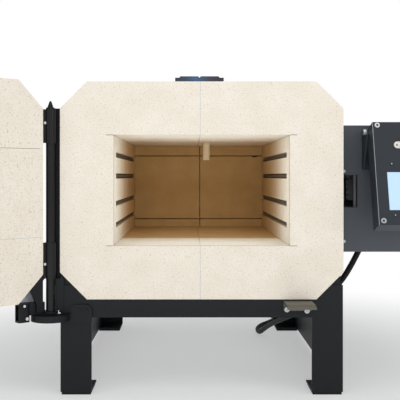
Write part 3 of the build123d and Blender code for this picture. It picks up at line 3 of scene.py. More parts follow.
import bpy
import numpy as np
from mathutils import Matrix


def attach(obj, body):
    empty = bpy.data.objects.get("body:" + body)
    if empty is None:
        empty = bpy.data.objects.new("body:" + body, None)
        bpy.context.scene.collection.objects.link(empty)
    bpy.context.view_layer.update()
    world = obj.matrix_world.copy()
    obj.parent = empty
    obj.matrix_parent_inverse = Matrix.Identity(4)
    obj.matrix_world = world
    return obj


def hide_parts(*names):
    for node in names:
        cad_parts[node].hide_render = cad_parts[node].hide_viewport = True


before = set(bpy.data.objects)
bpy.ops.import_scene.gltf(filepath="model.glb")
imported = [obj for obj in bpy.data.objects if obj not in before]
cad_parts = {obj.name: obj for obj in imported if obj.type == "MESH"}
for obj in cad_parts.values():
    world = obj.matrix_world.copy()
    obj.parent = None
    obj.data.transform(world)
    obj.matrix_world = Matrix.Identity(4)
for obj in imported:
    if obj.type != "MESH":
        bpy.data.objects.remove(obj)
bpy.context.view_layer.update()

# Firebrick: soft cream insulating bricks, sawn and ground to shape and laid dry around the
# chamber. They are pale at the front; further in, the heat has browned the walls and roof, and
# the chamber floor turns brown at a sharp step. The door carries one course of the same brick.
FRONT = -0.26965
EDGE_SEGMENTS = 2
EDGE_ANGLE = math.radians(50)


def new_material(name, color, roughness, metallic=0.0, specular=0.5, coat=0.0):
    made = bpy.data.materials.new(name)
    made.use_nodes = True
    shader = made.node_tree.nodes["Principled BSDF"]
    shader.inputs["Base Color"].default_value = (*color, 1.0)
    shader.inputs["Roughness"].default_value = roughness
    shader.inputs["Metallic"].default_value = metallic
    shader.inputs["Specular IOR Level"].default_value = specular
    shader.inputs["Coat Weight"].default_value = coat
    return made


def add_node(tree, kind, values=None, **settings):
    node = tree.nodes.new(kind)
    for key, value in settings.items():
        setattr(node, key, value)
    for key, value in (values or {}).items():
        node.inputs[key].default_value = value
    return node


def new_group(name, inputs, outputs):
    group = bpy.data.node_groups.new(name, "ShaderNodeTree")
    for label, kind, value in inputs:
        socket = group.interface.new_socket(label, in_out="INPUT", socket_type=kind)
        socket.default_value = value
    for label, kind in outputs:
        group.interface.new_socket(label, in_out="OUTPUT", socket_type=kind)
    return group, group.nodes.new("NodeGroupInput"), group.nodes.new("NodeGroupOutput")


def link(tree, source, target):
    tree.links.new(source, target)


def ramp_stops(node, stops):
    while len(node.color_ramp.elements) < len(stops):
        node.color_ramp.elements.new(0.5)
    for element, (place, color) in zip(node.color_ramp.elements, stops):
        element.position = place
        element.color = (*color, 1.0)


def finish(material, names, bevel=0.0):
    """Gives CAD nodes their finish, and hard edges a small bevel that catches the light."""
    for name in names:
        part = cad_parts[name]
        part.data.materials.clear()
        part.data.materials.append(material)
        if bevel:
            edges = part.modifiers.new("edges", "BEVEL")
            edges.width = bevel
            edges.segments = EDGE_SEGMENTS
            edges.limit_method = "ANGLE"
            edges.angle_limit = EDGE_ANGLE


# Cream body, faint mottling, sparse brown specks and shallow pores. Fired is how far it has
# browned, from 0 at the rim to 1 deep in the chamber.
def brick_group():
    group, given, result = new_group(
        "firebrick surface",
        [("Fired", "NodeSocketFloat", 0.0)],
        [("Color", "NodeSocketColor"), ("Normal", "NodeSocketVector")],
    )
    place = add_node(group, "ShaderNodeTexCoord")
    mottle = add_node(group, "ShaderNodeTexNoise", {"Scale": 32.0, "Detail": 4.0})
    specks = add_node(group, "ShaderNodeTexNoise", {"Scale": 430.0, "Detail": 2.0})
    grain = add_node(group, "ShaderNodeTexNoise", {"Scale": 560.0, "Detail": 1.0})
    pores = add_node(group, "ShaderNodeTexNoise", {"Scale": 900.0, "Detail": 3.0})
    for node in (mottle, specks, grain, pores):
        link(group, place.outputs["Object"], node.inputs["Vector"])
    body = add_node(group, "ShaderNodeValToRGB")
    ramp_stops(body, [(0.3, (0.79, 0.73, 0.625)), (0.7, (0.84, 0.79, 0.70))])
    link(group, mottle.outputs["Fac"], body.inputs["Fac"])
    browned = add_node(group, "ShaderNodeValToRGB")
    ramp_stops(browned, [(0.3, (0.56, 0.352, 0.137)), (0.7, (0.63, 0.40, 0.165))])
    link(group, mottle.outputs["Fac"], browned.inputs["Fac"])
    heat = add_node(group, "ShaderNodeMix", data_type="RGBA")
    link(group, given.outputs["Fired"], heat.inputs["Factor"])
    link(group, body.outputs["Color"], heat.inputs["A"])
    link(group, browned.outputs["Color"], heat.inputs["B"])
    grain_mask = add_node(group, "ShaderNodeValToRGB")
    ramp_stops(grain_mask, [(0.54, (0, 0, 0)), (0.68, (0.32, 0.32, 0.32))])
    link(group, grain.outputs["Fac"], grain_mask.inputs["Fac"])
    grained = add_node(group, "ShaderNodeMix", data_type="RGBA")
    grained.inputs["B"].default_value = (0.52, 0.37, 0.23, 1.0)
    link(group, grain_mask.outputs["Color"], grained.inputs["Factor"])
    link(group, heat.outputs["Result"], grained.inputs["A"])
    speck_mask = add_node(group, "ShaderNodeValToRGB")
    ramp_stops(speck_mask, [(0.63, (0, 0, 0)), (0.72, (0.6, 0.6, 0.6))])
    link(group, specks.outputs["Fac"], speck_mask.inputs["Fac"])
    dotted = add_node(group, "ShaderNodeMix", data_type="RGBA")
    dotted.inputs["B"].default_value = (0.42, 0.25, 0.13, 1.0)
    link(group, speck_mask.outputs["Color"], dotted.inputs["Factor"])
    link(group, grained.outputs["Result"], dotted.inputs["A"])
    link(group, dotted.outputs["Result"], result.inputs["Color"])
    bump = add_node(group, "ShaderNodeBump", {"Strength": 0.25, "Distance": 0.0006})
    link(group, pores.outputs["Fac"], bump.inputs["Height"])
    link(group, bump.outputs["Normal"], result.inputs["Normal"])
    return group


BRICK_SURFACE = brick_group()


def brick_material(name, fire_from, fire_to, fired_most=1.0):
    """Firebrick that browns between two depths behind the front face."""
    made = new_material(name, (0.84, 0.78, 0.67), 0.92, specular=0.15)
    tree = made.node_tree
    shader = tree.nodes["Principled BSDF"]
    surface = add_node(tree, "ShaderNodeGroup", node_tree=BRICK_SURFACE)
    place = add_node(tree, "ShaderNodeTexCoord")
    split = add_node(tree, "ShaderNodeSeparateXYZ")
    link(tree, place.outputs["Object"], split.inputs["Vector"])
    depth = add_node(tree, "ShaderNodeMapRange", interpolation_type="SMOOTHSTEP")
    depth.inputs["From Min"].default_value = FRONT + fire_from
    depth.inputs["From Max"].default_value = FRONT + fire_to
    depth.inputs["To Max"].default_value = fired_most
    link(tree, split.outputs["Y"], depth.inputs["Value"])
    link(tree, depth.outputs["Result"], surface.inputs["Fired"])
    link(tree, surface.outputs["Color"], shader.inputs["Base Color"])
    link(tree, surface.outputs["Normal"], shader.inputs["Normal"])
    return made


roof_brick = brick_material("roof brick", fire_from=0.17, fire_to=0.28, fired_most=0.6)
# The chamber floor's colour steps sharply from cream to brown 136 to 158 mm behind the front face.
floor_brick = brick_material("floor brick", fire_from=0.136, fire_to=0.158)
side_brick = brick_material("side brick", fire_from=0.015, fire_to=0.33, fired_most=0.92)
back_brick = brick_material("back brick", fire_from=0.30, fire_to=0.31)
# The door has seen no fire, so its browning starts far outside the oven.
door_brick = brick_material("door brick", fire_from=5.0, fire_to=6.0)
finish(roof_brick, ["roof_brick_left", "roof_brick_right"], 0.0004)
finish(floor_brick, ["floor_brick_left", "floor_brick_right"], 0.0004)
finish(side_brick, ["side_brick_left", "side_brick_right"], 0.0004)
finish(back_brick, ["back_bricks_left", "back_bricks_right"], 0.0006)
finish(door_brick, ["door_bricks_hinge_side", "door_bricks_latch_side"], 0.0005)


# Brick joints: a little mortar wash and dust fills the dry joints flush with the faces.
# Beside the chamber it has the bricks' own colour and nearly vanishes. The middle joints and
# the door's lower one are pale grey, and the dark strips in the two seat gaps are painted shade.
HINGE_AXIS = (-0.21495, -0.27265)
OPEN_ANGLE = math.radians(-140)
SEAM_WIDTH = 0.00046
SEAM_DEPTH = 0.003
SEAM_X = -0.002
CASE_HALF = 0.20195
SEAT_X = 0.13625
SEAT_INNER = 0.1264
SEAT_LEVELS = (0.37045, 0.21195)
SIDE_JOINTS = ((0.3804, 0.3707), (0.2020, 0.2117))
MIDDLE_JOINTS = ((0.1365, 0.2117), (0.3707, 0.4459))
DOOR_JOINT = 0.2255
DOOR_GAP = 0.001
END_GAP = 0.0005
SEAT_GAP = 0.0004


def box_shape(low, high):
    """Vertices and faces of a box between two corners."""
    xs, ys, zs = zip(low, high)
    corners = [(x, y, z) for x in xs for y in ys for z in zs]
    faces = [(0, 1, 3, 2), (4, 6, 7, 5), (0, 4, 5, 1), (2, 3, 7, 6), (0, 2, 6, 4), (1, 5, 7, 3)]
    return corners, faces


def mesh_piece(name, shapes, material, body):
    """One object from several (vertices, faces) shapes."""
    vertices = []
    faces = []
    for points, corners in shapes:
        first = len(vertices)
        vertices += [tuple(point) for point in points]
        faces += [tuple(first + corner for corner in face) for face in corners]
    mesh = bpy.data.meshes.new(name)
    mesh.from_pydata(vertices, [], faces)
    mesh.polygons.foreach_set("use_smooth", [True] * len(mesh.polygons))
    made = bpy.data.objects.new(name, mesh)
    bpy.context.scene.collection.objects.link(made)
    made.data.materials.append(material)
    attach(made, body)
    return made


def seam_box(x0, x1, z0, z1, face=FRONT):
    """Strip between two corners of the front, given along the middle of its joint."""
    half = SEAM_WIDTH / 2
    return box_shape((x0 - half, face, z0 - half), (x1 + half, face + SEAM_DEPTH, z1 + half))


def opened(shape):
    """The same shape turned with the door from closed to open."""
    axis_x, axis_y = HINGE_AXIS
    cosine = math.cos(OPEN_ANGLE)
    sine = math.sin(OPEN_ANGLE)
    points, faces = shape
    turned = []
    for x, y, z in points:
        x -= axis_x
        y -= axis_y
        turned.append((axis_x + cosine * x - sine * y, axis_y + sine * x + cosine * y, z))
    return turned, faces


def flat(piece):
    piece.data.polygons.foreach_set("use_smooth", [False] * len(piece.data.polygons))
    return piece


seam_fill = new_material("seam fill", (0.45, 0.48, 0.57), 0.9, specular=0.15)
painted_shade = new_material("burnt seam", (0.17, 0.10, 0.055), 0.95, specular=0.1)
brick_strips = []
for side in (-1, 1):
    outer, inner = sorted((side * (CASE_HALF - END_GAP), side * SEAT_X))
    step = side * SEAT_X
    for level, seat in SIDE_JOINTS:
        brick_strips.append(seam_box(outer, inner, level, level))
        brick_strips.append(seam_box(step, step, min(level, seat), max(level, seat)))
flat(mesh_piece("side_joint_fill", brick_strips, door_brick, "oven"))
# Dark strips in the two seat gaps: painted shade where the gap lies in shadow.
seat_shade_strips = []
for side in (-1, 1):
    outer, inner = sorted((side * (SEAT_X - SEAT_GAP), side * SEAT_INNER))
    seat_shade_strips += [seam_box(outer, inner, level, level) for level in SEAT_LEVELS]
flat(mesh_piece("seat_gap_shade", seat_shade_strips, painted_shade, "oven"))
middle_strips = [seam_box(SEAM_X, SEAM_X, low, high) for low, high in MIDDLE_JOINTS]
flat(mesh_piece("middle_joint_fill", middle_strips, seam_fill, "oven"))
door_face = FRONT - DOOR_GAP - SEAM_DEPTH
door_left = -CASE_HALF + END_GAP
door_right = SEAM_X - DOOR_GAP
door_strip = opened(seam_box(door_left, door_right, DOOR_JOINT, DOOR_JOINT, door_face))
flat(mesh_piece("door_joint_fill", [door_strip], seam_fill, "door"))


# Chip in the back wall: a flake of brick has broken out near the roof, and its bed is black
# with soot. It is a shallow mark with no depth worth modelling.
soot = new_material("soot", (0.055, 0.035, 0.02), 0.95, specular=0.1)
CHIP = [
    (-5.6, 0.7), (-3.1, 1.6), (-0.9, 1.0), (1.7, 1.9), (4.6, 1.2), (6.2, 0.2),
    (4.1, -0.9), (1.2, -0.6), (-0.6, -1.8), (-2.4, -1.2), (-4.4, -1.9), (-6.3, -0.6),
]
CHIP_SHEET = 0.0001
MILLIMETRE = 0.001
chip_x, chip_z = 0.1124, 0.3504
chip_y = FRONT + 0.4570
chip_points = [(chip_x + x * MILLIMETRE, chip_y, chip_z + z * MILLIMETRE) for x, z in CHIP]
chip_points += [(x, y + CHIP_SHEET, z) for x, y, z in chip_points]
count = len(CHIP)
chip_faces = [tuple(range(count)), tuple(range(2 * count - 1, count - 1, -1))]
chip_faces += [(n, (n + 1) % count, count + (n + 1) % count, count + n) for n in range(count)]
flat(mesh_piece("back_wall_chip", [(chip_points, chip_faces)], soot, "oven"))


# Heating elements: close-wound resistance wire lies in the eight grooves of the side walls,
# with straight tails out of the back through ceramic bushings. The windings stand for the
# plain bars of the CAD.
def swept_tube(path, radius, sides):
    """Vertices and faces of a closed tube along a path of points."""
    path = np.asarray(path)
    along = np.gradient(path, axis=0)
    along /= np.linalg.norm(along, axis=1)[:, None]
    across = np.cross(along, (0.0, 1.0, 0.0))
    short = np.linalg.norm(across, axis=1) < 1e-6
    across[short] = (1.0, 0.0, 0.0)
    across /= np.linalg.norm(across, axis=1)[:, None]
    other = np.cross(along, across)
    rings = []
    for step in range(sides):
        angle = 2 * math.pi * step / sides
        rings.append(path + radius * (math.cos(angle) * across + math.sin(angle) * other))
    vertices = np.stack(rings, axis=1).reshape(-1, 3)
    faces = []
    for row in range(len(path) - 1):
        for step in range(sides):
            following = (step + 1) % sides
            a = row * sides
            faces.append((a + step, a + following, a + sides + following, a + sides + step))
    last = (len(path) - 1) * sides
    faces.append(tuple(range(sides - 1, -1, -1)))
    faces.append(tuple(range(last, last + sides)))
    return vertices, faces


wire = new_material("element wire", (0.12, 0.09, 0.06), 0.6, metallic=0.2)
ceramic = new_material("ceramic", (0.72, 0.58, 0.38), 0.75, specular=0.3)
ELEMENT_X = 0.13125
CHAMBER_MIDDLE = 0.2912
GROOVE_OFFSETS = (-0.052, -0.0205, 0.0205, 0.052)
COIL_FRONT = FRONT + 0.0445
COIL_BACK = FRONT + 0.4562
TAIL_END = FRONT + 0.5559
WIRE_RADIUS = 0.0007
WINDING_RADIUS = 0.0025
WINDING_PITCH = 0.0023
POINTS_PER_TURN = 10
WIRE_SIDES = 5
TAIL_RADIUS = 0.0016
TAIL_SIDES = 10
TAIL_OVERLAP = 0.001
for side, label in ((-1, "left"), (1, "right")):
    coils = []
    for offset in GROOVE_OFFSETS:
        turns = (COIL_BACK - COIL_FRONT) / WINDING_PITCH
        count = int(turns * POINTS_PER_TURN)
        angle = np.linspace(0, 2 * math.pi * turns, count)
        helix = np.empty((count, 3))
        helix[:, 0] = side * ELEMENT_X + WINDING_RADIUS * np.cos(angle)
        helix[:, 1] = np.linspace(COIL_FRONT, COIL_BACK, count)
        helix[:, 2] = CHAMBER_MIDDLE + offset + WINDING_RADIUS * np.sin(angle)
        coils.append(swept_tube(helix, WIRE_RADIUS, WIRE_SIDES))
        reach = (COIL_BACK - TAIL_OVERLAP, TAIL_END)
        tail = [(side * ELEMENT_X, y, CHAMBER_MIDDLE + offset) for y in reach]
        coils.append(swept_tube(tail, TAIL_RADIUS, TAIL_SIDES))
    winding = mesh_piece(f"element_coils_{label}", coils, wire, "oven")
    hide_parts(f"element_{label}")
finish(ceramic, ["element_bushings"])


# Case and door shell: bent stainless sheet wrapped around the bricks, brushed along its
# length. A flat panel closes the back, and a louvred cover with side flanges is screwed on
# over the element tails.
def brushed_group():
    group, _, result = new_group("brushed sheet", [], [("Mask", "NodeSocketFloat")])
    place = add_node(group, "ShaderNodeTexCoord")
    stretch = add_node(group, "ShaderNodeMapping", {"Scale": (900.0, 12.0, 900.0)})
    lines = add_node(group, "ShaderNodeTexNoise", {"Scale": 1.0, "Detail": 3.0})
    spread = add_node(group, "ShaderNodeMapRange", {"To Min": 0.26, "To Max": 0.42})
    link(group, place.outputs["Object"], stretch.inputs["Vector"])
    link(group, stretch.outputs["Vector"], lines.inputs["Vector"])
    link(group, lines.outputs["Fac"], spread.inputs["Value"])
    link(group, spread.outputs["Result"], result.inputs["Mask"])
    return group


BRUSHED = brushed_group()


def brushed(name, color):
    made = new_material(name, color, 0.34, metallic=1.0)
    surface = add_node(made.node_tree, "ShaderNodeGroup", node_tree=BRUSHED)
    shader = made.node_tree.nodes["Principled BSDF"]
    link(made.node_tree, surface.outputs["Mask"], shader.inputs["Roughness"])
    return made


stainless = brushed("stainless", (0.62, 0.63, 0.64))
finish(stainless, ["case_shell", "case_back_panel", "rear_terminal_cover", "door_shell"])


# Stand: two sides of bent steel sheet with a leg flange at each end, two square tube beams,
# and folded cradles under the case's lower chamfers, powder coated satin black and bolted
# together on four rubber pads.
def coat_group():
    group, _, result = new_group("powder coat", [], [("Normal", "NodeSocketVector")])
    place = add_node(group, "ShaderNodeTexCoord")
    peel = add_node(group, "ShaderNodeTexNoise", {"Scale": 700.0, "Detail": 2.0})
    link(group, place.outputs["Object"], peel.inputs["Vector"])
    bump = add_node(group, "ShaderNodeBump", {"Strength": 0.18, "Distance": 0.0003})
    link(group, peel.outputs["Fac"], bump.inputs["Height"])
    link(group, bump.outputs["Normal"], result.inputs["Normal"])
    return group


POWDER_COAT = coat_group()


def coated(name, color, roughness, specular=0.5):
    made = new_material(name, color, roughness, specular=specular)
    surface = add_node(made.node_tree, "ShaderNodeGroup", node_tree=POWDER_COAT)
    shader = made.node_tree.nodes["Principled BSDF"]
    link(made.node_tree, surface.outputs["Normal"], shader.inputs["Normal"])
    return made


black_steel = coated("black steel", (0.006, 0.0078, 0.010), 0.48, specular=0.22)
worn_zinc_and_highlight = new_material("worn zinc and painted highlight", (0.42, 0.43, 0.44), 0.38, metallic=1.0)
rubber = new_material("rubber", (0.009, 0.009, 0.010), 0.6, specular=0.2)
finish(black_steel, ["stand_side_right", "stand_side_left", "frame_bolts"])
finish(black_steel, ["cradle_right", "cradle_left"])
finish(black_steel, ["front_beam", "rear_beam"], 0.0014)
finish(worn_zinc_and_highlight, ["bright_bolts"])
finish(rubber, ["foot_pads"])


# Hinge: a round steel rod with a pointed top stands on the base bracket, before the angle
# rail of the case. Two straps and a square tube arm carry the door on it, all black but the
# zinc plated leaf and the screws. The door rest, a folded shelf on the beam, has oxidised.
zinc = new_material("zinc", (0.66, 0.67, 0.68), 0.3, metallic=1.0)
dull_zinc = new_material("dull zinc", (0.55, 0.56, 0.61), 0.55, metallic=0.25)
gloss_black = coated("gloss black", (0.0035, 0.004, 0.0048), 0.28, specular=0.25)
oxidised = new_material("oxidised steel", (0.118, 0.109, 0.088), 0.5, metallic=0.5)
finish(black_steel, ["hinge_rail", "hinge_base_bracket"])
finish(gloss_black, ["hinge_rod"])
finish(gloss_black, ["hinge_strap_upper", "hinge_strap_lower"], 0.0005)
finish(black_steel, ["door_arm"], 0.0009)
finish(dull_zinc, ["door_leaf"], 0.0005)
finish(zinc, ["door_screws"])
finish(oxidised, ["door_rest"], 0.0007)


# Latch: a folded black bracket on the door's free edge carries a zinc plated shaft with a
# cam, turned by a lever with a plastic ball knob. The keeper is a folded liner behind the
# enclosure's window, slotted for the cam. Its pale paint is partly painted light: it is made
# lighter because little lamp light reaches it behind the window.
black_plastic = new_material("black plastic", (0.03, 0.03, 0.035), 0.4)
# Keeper paint: partly painted light, lightened because little lamp light reaches behind the
# window.
keeper_paint_lightened = coated("keeper paint lightened for shade", (0.68, 0.71, 0.74), 0.5)
finish(black_steel, ["latch_bracket", "latch_lever"])
finish(zinc, ["latch_shaft"])
finish(black_plastic, ["latch_knob"])
finish(keeper_paint_lightened, ["latch_keeper"])


# Thermocouple: a closed ceramic tube hangs through the roof from a ceramic block, under a
# flat steel hood with a front skirt that one threaded post carries. Its colour runs across
# the hood from grey through heat-tint blue to plum and dark grey; the blue is heat tint, the
# dark right part is painted shade and the plum band is a painted highlight.
blued_steel_and_shade = new_material("blued steel with painted shade", (0.07, 0.10, 0.16), 0.4, metallic=0.6)
blued_tree = blued_steel_and_shade.node_tree
along = add_node(blued_tree, "ShaderNodeSeparateXYZ")
span = add_node(blued_tree, "ShaderNodeMapRange", {"From Min": -0.043, "From Max": 0.043})
# Tint ramp across the hood: heat-tint blue in the middle, painted shade towards the right end and
# a painted highlight in the plum band.
tint_shade_and_highlight = add_node(blued_tree, "ShaderNodeValToRGB")
ramp_stops(tint_shade_and_highlight, [
    (0.0, (0.045, 0.048, 0.062)), (0.22, (0.055, 0.085, 0.125)), (0.42, (0.075, 0.13, 0.27)),
    (0.56, (0.06, 0.105, 0.15)), (0.72, (0.06, 0.058, 0.095)), (1.0, (0.045, 0.044, 0.052)),
])
place = add_node(blued_tree, "ShaderNodeTexCoord")
link(blued_tree, place.outputs["Object"], along.inputs["Vector"])
link(blued_tree, along.outputs["X"], span.inputs["Value"])
link(blued_tree, span.outputs["Result"], tint_shade_and_highlight.inputs["Fac"])
link(blued_tree, tint_shade_and_highlight.outputs["Color"], blued_tree.nodes["Principled BSDF"].inputs["Base Color"])
finish(blued_steel_and_shade, ["thermocouple_guard"])
finish(zinc, ["guard_post"])
finish(ceramic, ["thermocouple_tube"])
finish(ceramic, ["thermocouple_block"], 0.0008)


# Control enclosure: a folded sheet box behind a front plate, both powder coated grey, held
# off the side of the case by screws and spacers. The relay with its heat sink and the screw
# terminals sit on the inside, and a plastic gland in the underside lets the cord out.
grey_paint = coated("grey paint", (0.079, 0.088, 0.101), 0.5, specular=0.3)
aluminium = new_material("aluminium", (0.70, 0.70, 0.72), 0.4, metallic=1.0)
finish(grey_paint, ["control_plate"], 0.0007)
finish(grey_paint, ["control_housing"])
finish(black_plastic, ["cord_gland", "terminal_strip"])
finish(aluminium, ["power_relay"])

# Black strips on three sides of the plate's latch window, in the plate's thickness: painted shade
# for the shadow gap at the window's edge.
GAP_SHADE_SIDE = 0.0022
GAP_SHADE_ENDS = 0.0007
GAP_SHADE_LEFT, GAP_SHADE_RIGHT = 0.2036, 0.23175
GAP_SHADE_LOW, GAP_SHADE_HIGH = 0.26495, 0.31355
GAP_SHADE_BACK = FRONT + 0.0508
GAP_SHADE_FACE = FRONT + 0.0492
corner = GAP_SHADE_RIGHT - GAP_SHADE_SIDE
window_gap_shade = [
    box_shape((corner, GAP_SHADE_FACE, GAP_SHADE_LOW), (GAP_SHADE_RIGHT, GAP_SHADE_BACK, GAP_SHADE_HIGH)),
    box_shape((GAP_SHADE_LEFT, GAP_SHADE_FACE, GAP_SHADE_LOW), (corner, GAP_SHADE_BACK, GAP_SHADE_LOW + GAP_SHADE_ENDS)),
    box_shape((GAP_SHADE_LEFT, GAP_SHADE_FACE, GAP_SHADE_HIGH - GAP_SHADE_ENDS), (corner, GAP_SHADE_BACK, GAP_SHADE_HIGH)),
]
flat(mesh_piece("window_gap_shade", window_gap_shade, rubber, "oven"))


# Display: a dark painted box with rounded edges that leans back between the ears of a bent
# bracket. Its face holds the touch screen and a nickel switch plate with the power toggle,
# and its screws are zinc plated. Black discs paint the shade in the screw sockets and holes and
# give the four small screws their black, zinc dots on those small screws are painted glints,
# and a bright strip along the face's left edge is a painted highlight.
display_paint = coated("display paint", (0.023, 0.029, 0.037), 0.45, specular=0.32)
bracket_paint = coated("bracket paint", (0.034, 0.040, 0.046), 0.45, specular=0.32)
socket_shade_black = new_material("painted socket shade", (0.012, 0.012, 0.013), 0.4)
nickel = new_material("switch nickel", (0.80, 0.78, 0.71), 0.3, metallic=0.7)
screen = new_material("screen", (0.25, 0.38, 0.47), 0.12)
screen_shader = screen.node_tree.nodes["Principled BSDF"]
screen_shader.inputs["Emission Color"].default_value = (0.59, 0.74, 0.97, 1.0)
screen_shader.inputs["Emission Strength"].default_value = 0.58
finish(display_paint, ["display_housing"], 0.0025)
finish(display_paint, ["display_face"], 0.0012)
finish(bracket_paint, ["tilt_bracket"])
finish(zinc, ["display_screws"])
finish(nickel, ["switch_plate", "toggle_lever"])
finish(screen, ["touch_screen"])

BASE = 0.136
TILT = math.radians(-16.8)
DISPLAY_ORIGIN = (0.2405, FRONT - 0.0101, BASE + 0.2519)


def on_display(points):
    """Points of the upright display box, leant back and put in place."""
    x0, y0, z0 = DISPLAY_ORIGIN
    cosine = math.cos(TILT)
    sine = math.sin(TILT)
    return [(x0 + x, y0 + y * cosine - z * sine, z0 + y * sine + z * cosine) for x, y, z in points]


def disc_on_display(x, z, radius, low, high, sides=20):
    turns = [2 * math.pi * n / sides for n in range(sides)]
    ring = [(x + radius * math.cos(turn), z + radius * math.sin(turn)) for turn in turns]
    points = [(a, low, b) for a, b in ring] + [(a, high, b) for a, b in ring]
    faces = [tuple(range(sides)), tuple(range(2 * sides - 1, sides - 1, -1))]
    faces += [(n, n + sides, (n + 1) % sides + sides, (n + 1) % sides) for n in range(sides)]
    return on_display(points), faces


# Each kind of recess: x places, z places, radius, front and back.
RECESSES = [
    ((0.0065, 0.1265), (-0.005, -0.1434), 0.0016, -0.00075, -0.0004),
    ((0.0231, 0.1041), (-0.0625, -0.1359), 0.00175, -0.0009, 0.0001),
    ((0.0322, 0.0518), (-0.0345,), 0.0012, -0.00085, -0.0006),
]
# Zinc dots set up and left on the small screws: painted glints.
GLINT_X = (0.0229, 0.1039)
GLINT_Z = (-0.0622, -0.1356)
GLINT = {"radius": 0.0009, "low": -0.0012, "high": -0.0009}
# Black discs in the recesses: painted shade in the corner screws' sockets and the small holes, and
# the small screws' own black.
socket_shades = []
for places, lifts, radius, low, high in RECESSES:
    for x in places:
        socket_shades += [disc_on_display(x, z, radius, low, high) for z in lifts]
flat(mesh_piece("screw_socket_shades", socket_shades, socket_shade_black, "display"))
glints = [disc_on_display(x, z, **GLINT) for x in GLINT_X for z in GLINT_Z]
flat(mesh_piece("screw_glints", glints, zinc, "display"))
# Bright strip along the face's left edge: a painted highlight.
edge_highlight = box_shape((-0.0001, -0.0001, -0.1490), (0.0006, 0.0012, -0.0004))
edge_highlight = (on_display(edge_highlight[0]), edge_highlight[1])
flat(mesh_piece("face_edge_highlight", [edge_highlight], worn_zinc_and_highlight, "display"))


# Power cord: one smooth rubber line from the gland, down behind the leg, along the floor and
# into a round coil of two layers behind the right leg, with a moulded plug on its end.
brass = new_material("brass", (0.75, 0.60, 0.30), 0.3, metallic=1.0)
finish(rubber, ["plug"])
finish(brass, ["plug_blades"])
STAND_BACK = 0.26965
CORD_DIAMETER = 0.009
CORD_ON_FLOOR = CORD_DIAMETER / 2 - BASE
COIL_CENTRE = (0.225, STAND_BACK + 0.076)
COIL_RADIUS = 0.061
COIL_PITCH = 0.011
LAYER_HEIGHT = 0.0098
LAYER_HALF_TURNS = 3
POINTS_PER_HALF_TURN = 12
LEAD_IN = (0.033, 0.009)
CORD_ROUTE = [
    (0.2460, 0.090, 0.070), (0.2395, 0.091, 0.054), (0.2145, 0.097, 0.008),
    (0.1830, 0.138, -0.027), (0.1630, 0.202, -0.053), (0.1470, 0.268, -0.074),
    (0.1360, 0.333, -0.093), (0.1270, 0.392, -0.113),
    (0.1190, 0.436, CORD_ON_FLOOR), (0.1180, 0.480, CORD_ON_FLOOR),
    (0.1300, 0.520, CORD_ON_FLOOR), (0.1510, 0.556, CORD_ON_FLOOR),
]
cord_points = [(x, FRONT + back, BASE + up) for x, back, up in CORD_ROUTE]
coil_x, coil_y = COIL_CENTRE
floor_height = CORD_DIAMETER / 2
for before in LEAD_IN:
    cord_points.append((coil_x - COIL_RADIUS, coil_y - before, floor_height))
radii = [COIL_RADIUS - n * COIL_PITCH / 2 for n in range(LAYER_HALF_TURNS + 1)]
lower = [(a, b, 0.0, 0.0) for a, b in zip(radii, radii[1:])]
climb = [(radii[-1], radii[-1], 0.0, LAYER_HEIGHT)]
upper = [(b, a, LAYER_HEIGHT, LAYER_HEIGHT) for a, b, _, _ in reversed(lower)]
side = -1
for start, end, low, high in lower + climb + upper:
    for step in range(POINTS_PER_HALF_TURN):
        part_way = step / POINTS_PER_HALF_TURN
        turn = math.pi * part_way
        middle = coil_x + side * (start - end) / 2
        radius = (start + end) / 2
        cord_points.append((
            middle + side * radius * math.cos(turn),
            coil_y - side * radius * math.sin(turn),
            floor_height + low + (high - low) * part_way,
        ))
    side = -side
last_x = coil_x + side * COIL_RADIUS
top_layer = floor_height + LAYER_HEIGHT
cord_points += [(last_x, coil_y, top_layer), (last_x, coil_y - side * CORD_DIAMETER, top_layer)]


def nurbs_tube(name, points, radius):
    curve = bpy.data.curves.new(name, "CURVE")
    curve.dimensions = "3D"
    curve.bevel_depth = radius
    curve.bevel_resolution = 5
    curve.use_fill_caps = True
    spline = curve.splines.new("NURBS")
    spline.points.add(len(points) - 1)
    for point, place in zip(spline.points, points):
        point.co = (*place, 1.0)
    spline.order_u = 3
    spline.use_endpoint_u = True
    spline.resolution_u = 8
    made = bpy.data.objects.new(name, curve)
    bpy.context.scene.collection.objects.link(made)
    return made


power_cord = nurbs_tube("power_cord", cord_points, CORD_DIAMETER / 2)
power_cord.data.materials.append(rubber)
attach(power_cord, "oven")
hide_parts("cord_run", "cord_coil")


# Camera: one-point perspective at the photograph's height, 1.16 m before the brick face. The
# shift puts the vanishing point at (190, 176) of the 400 pixel frame.
camera_data = bpy.data.cameras.new("camera")
camera = bpy.data.objects.new("camera", camera_data)
bpy.context.scene.collection.objects.link(camera)
camera.location = (-0.0167, FRONT - 1.16, 0.3117)
camera.rotation_euler = (math.radians(90), 0, 0)
camera_data.sensor_width = 36.0
camera_data.lens = 73.3
camera_data.shift_x = 0.025
camera_data.shift_y = -0.06
camera_data.clip_start = 0.01
camera_data.clip_end = 50.0
bpy.context.scene.camera = camera
bpy.context.scene.view_settings.view_transform = "Standard"


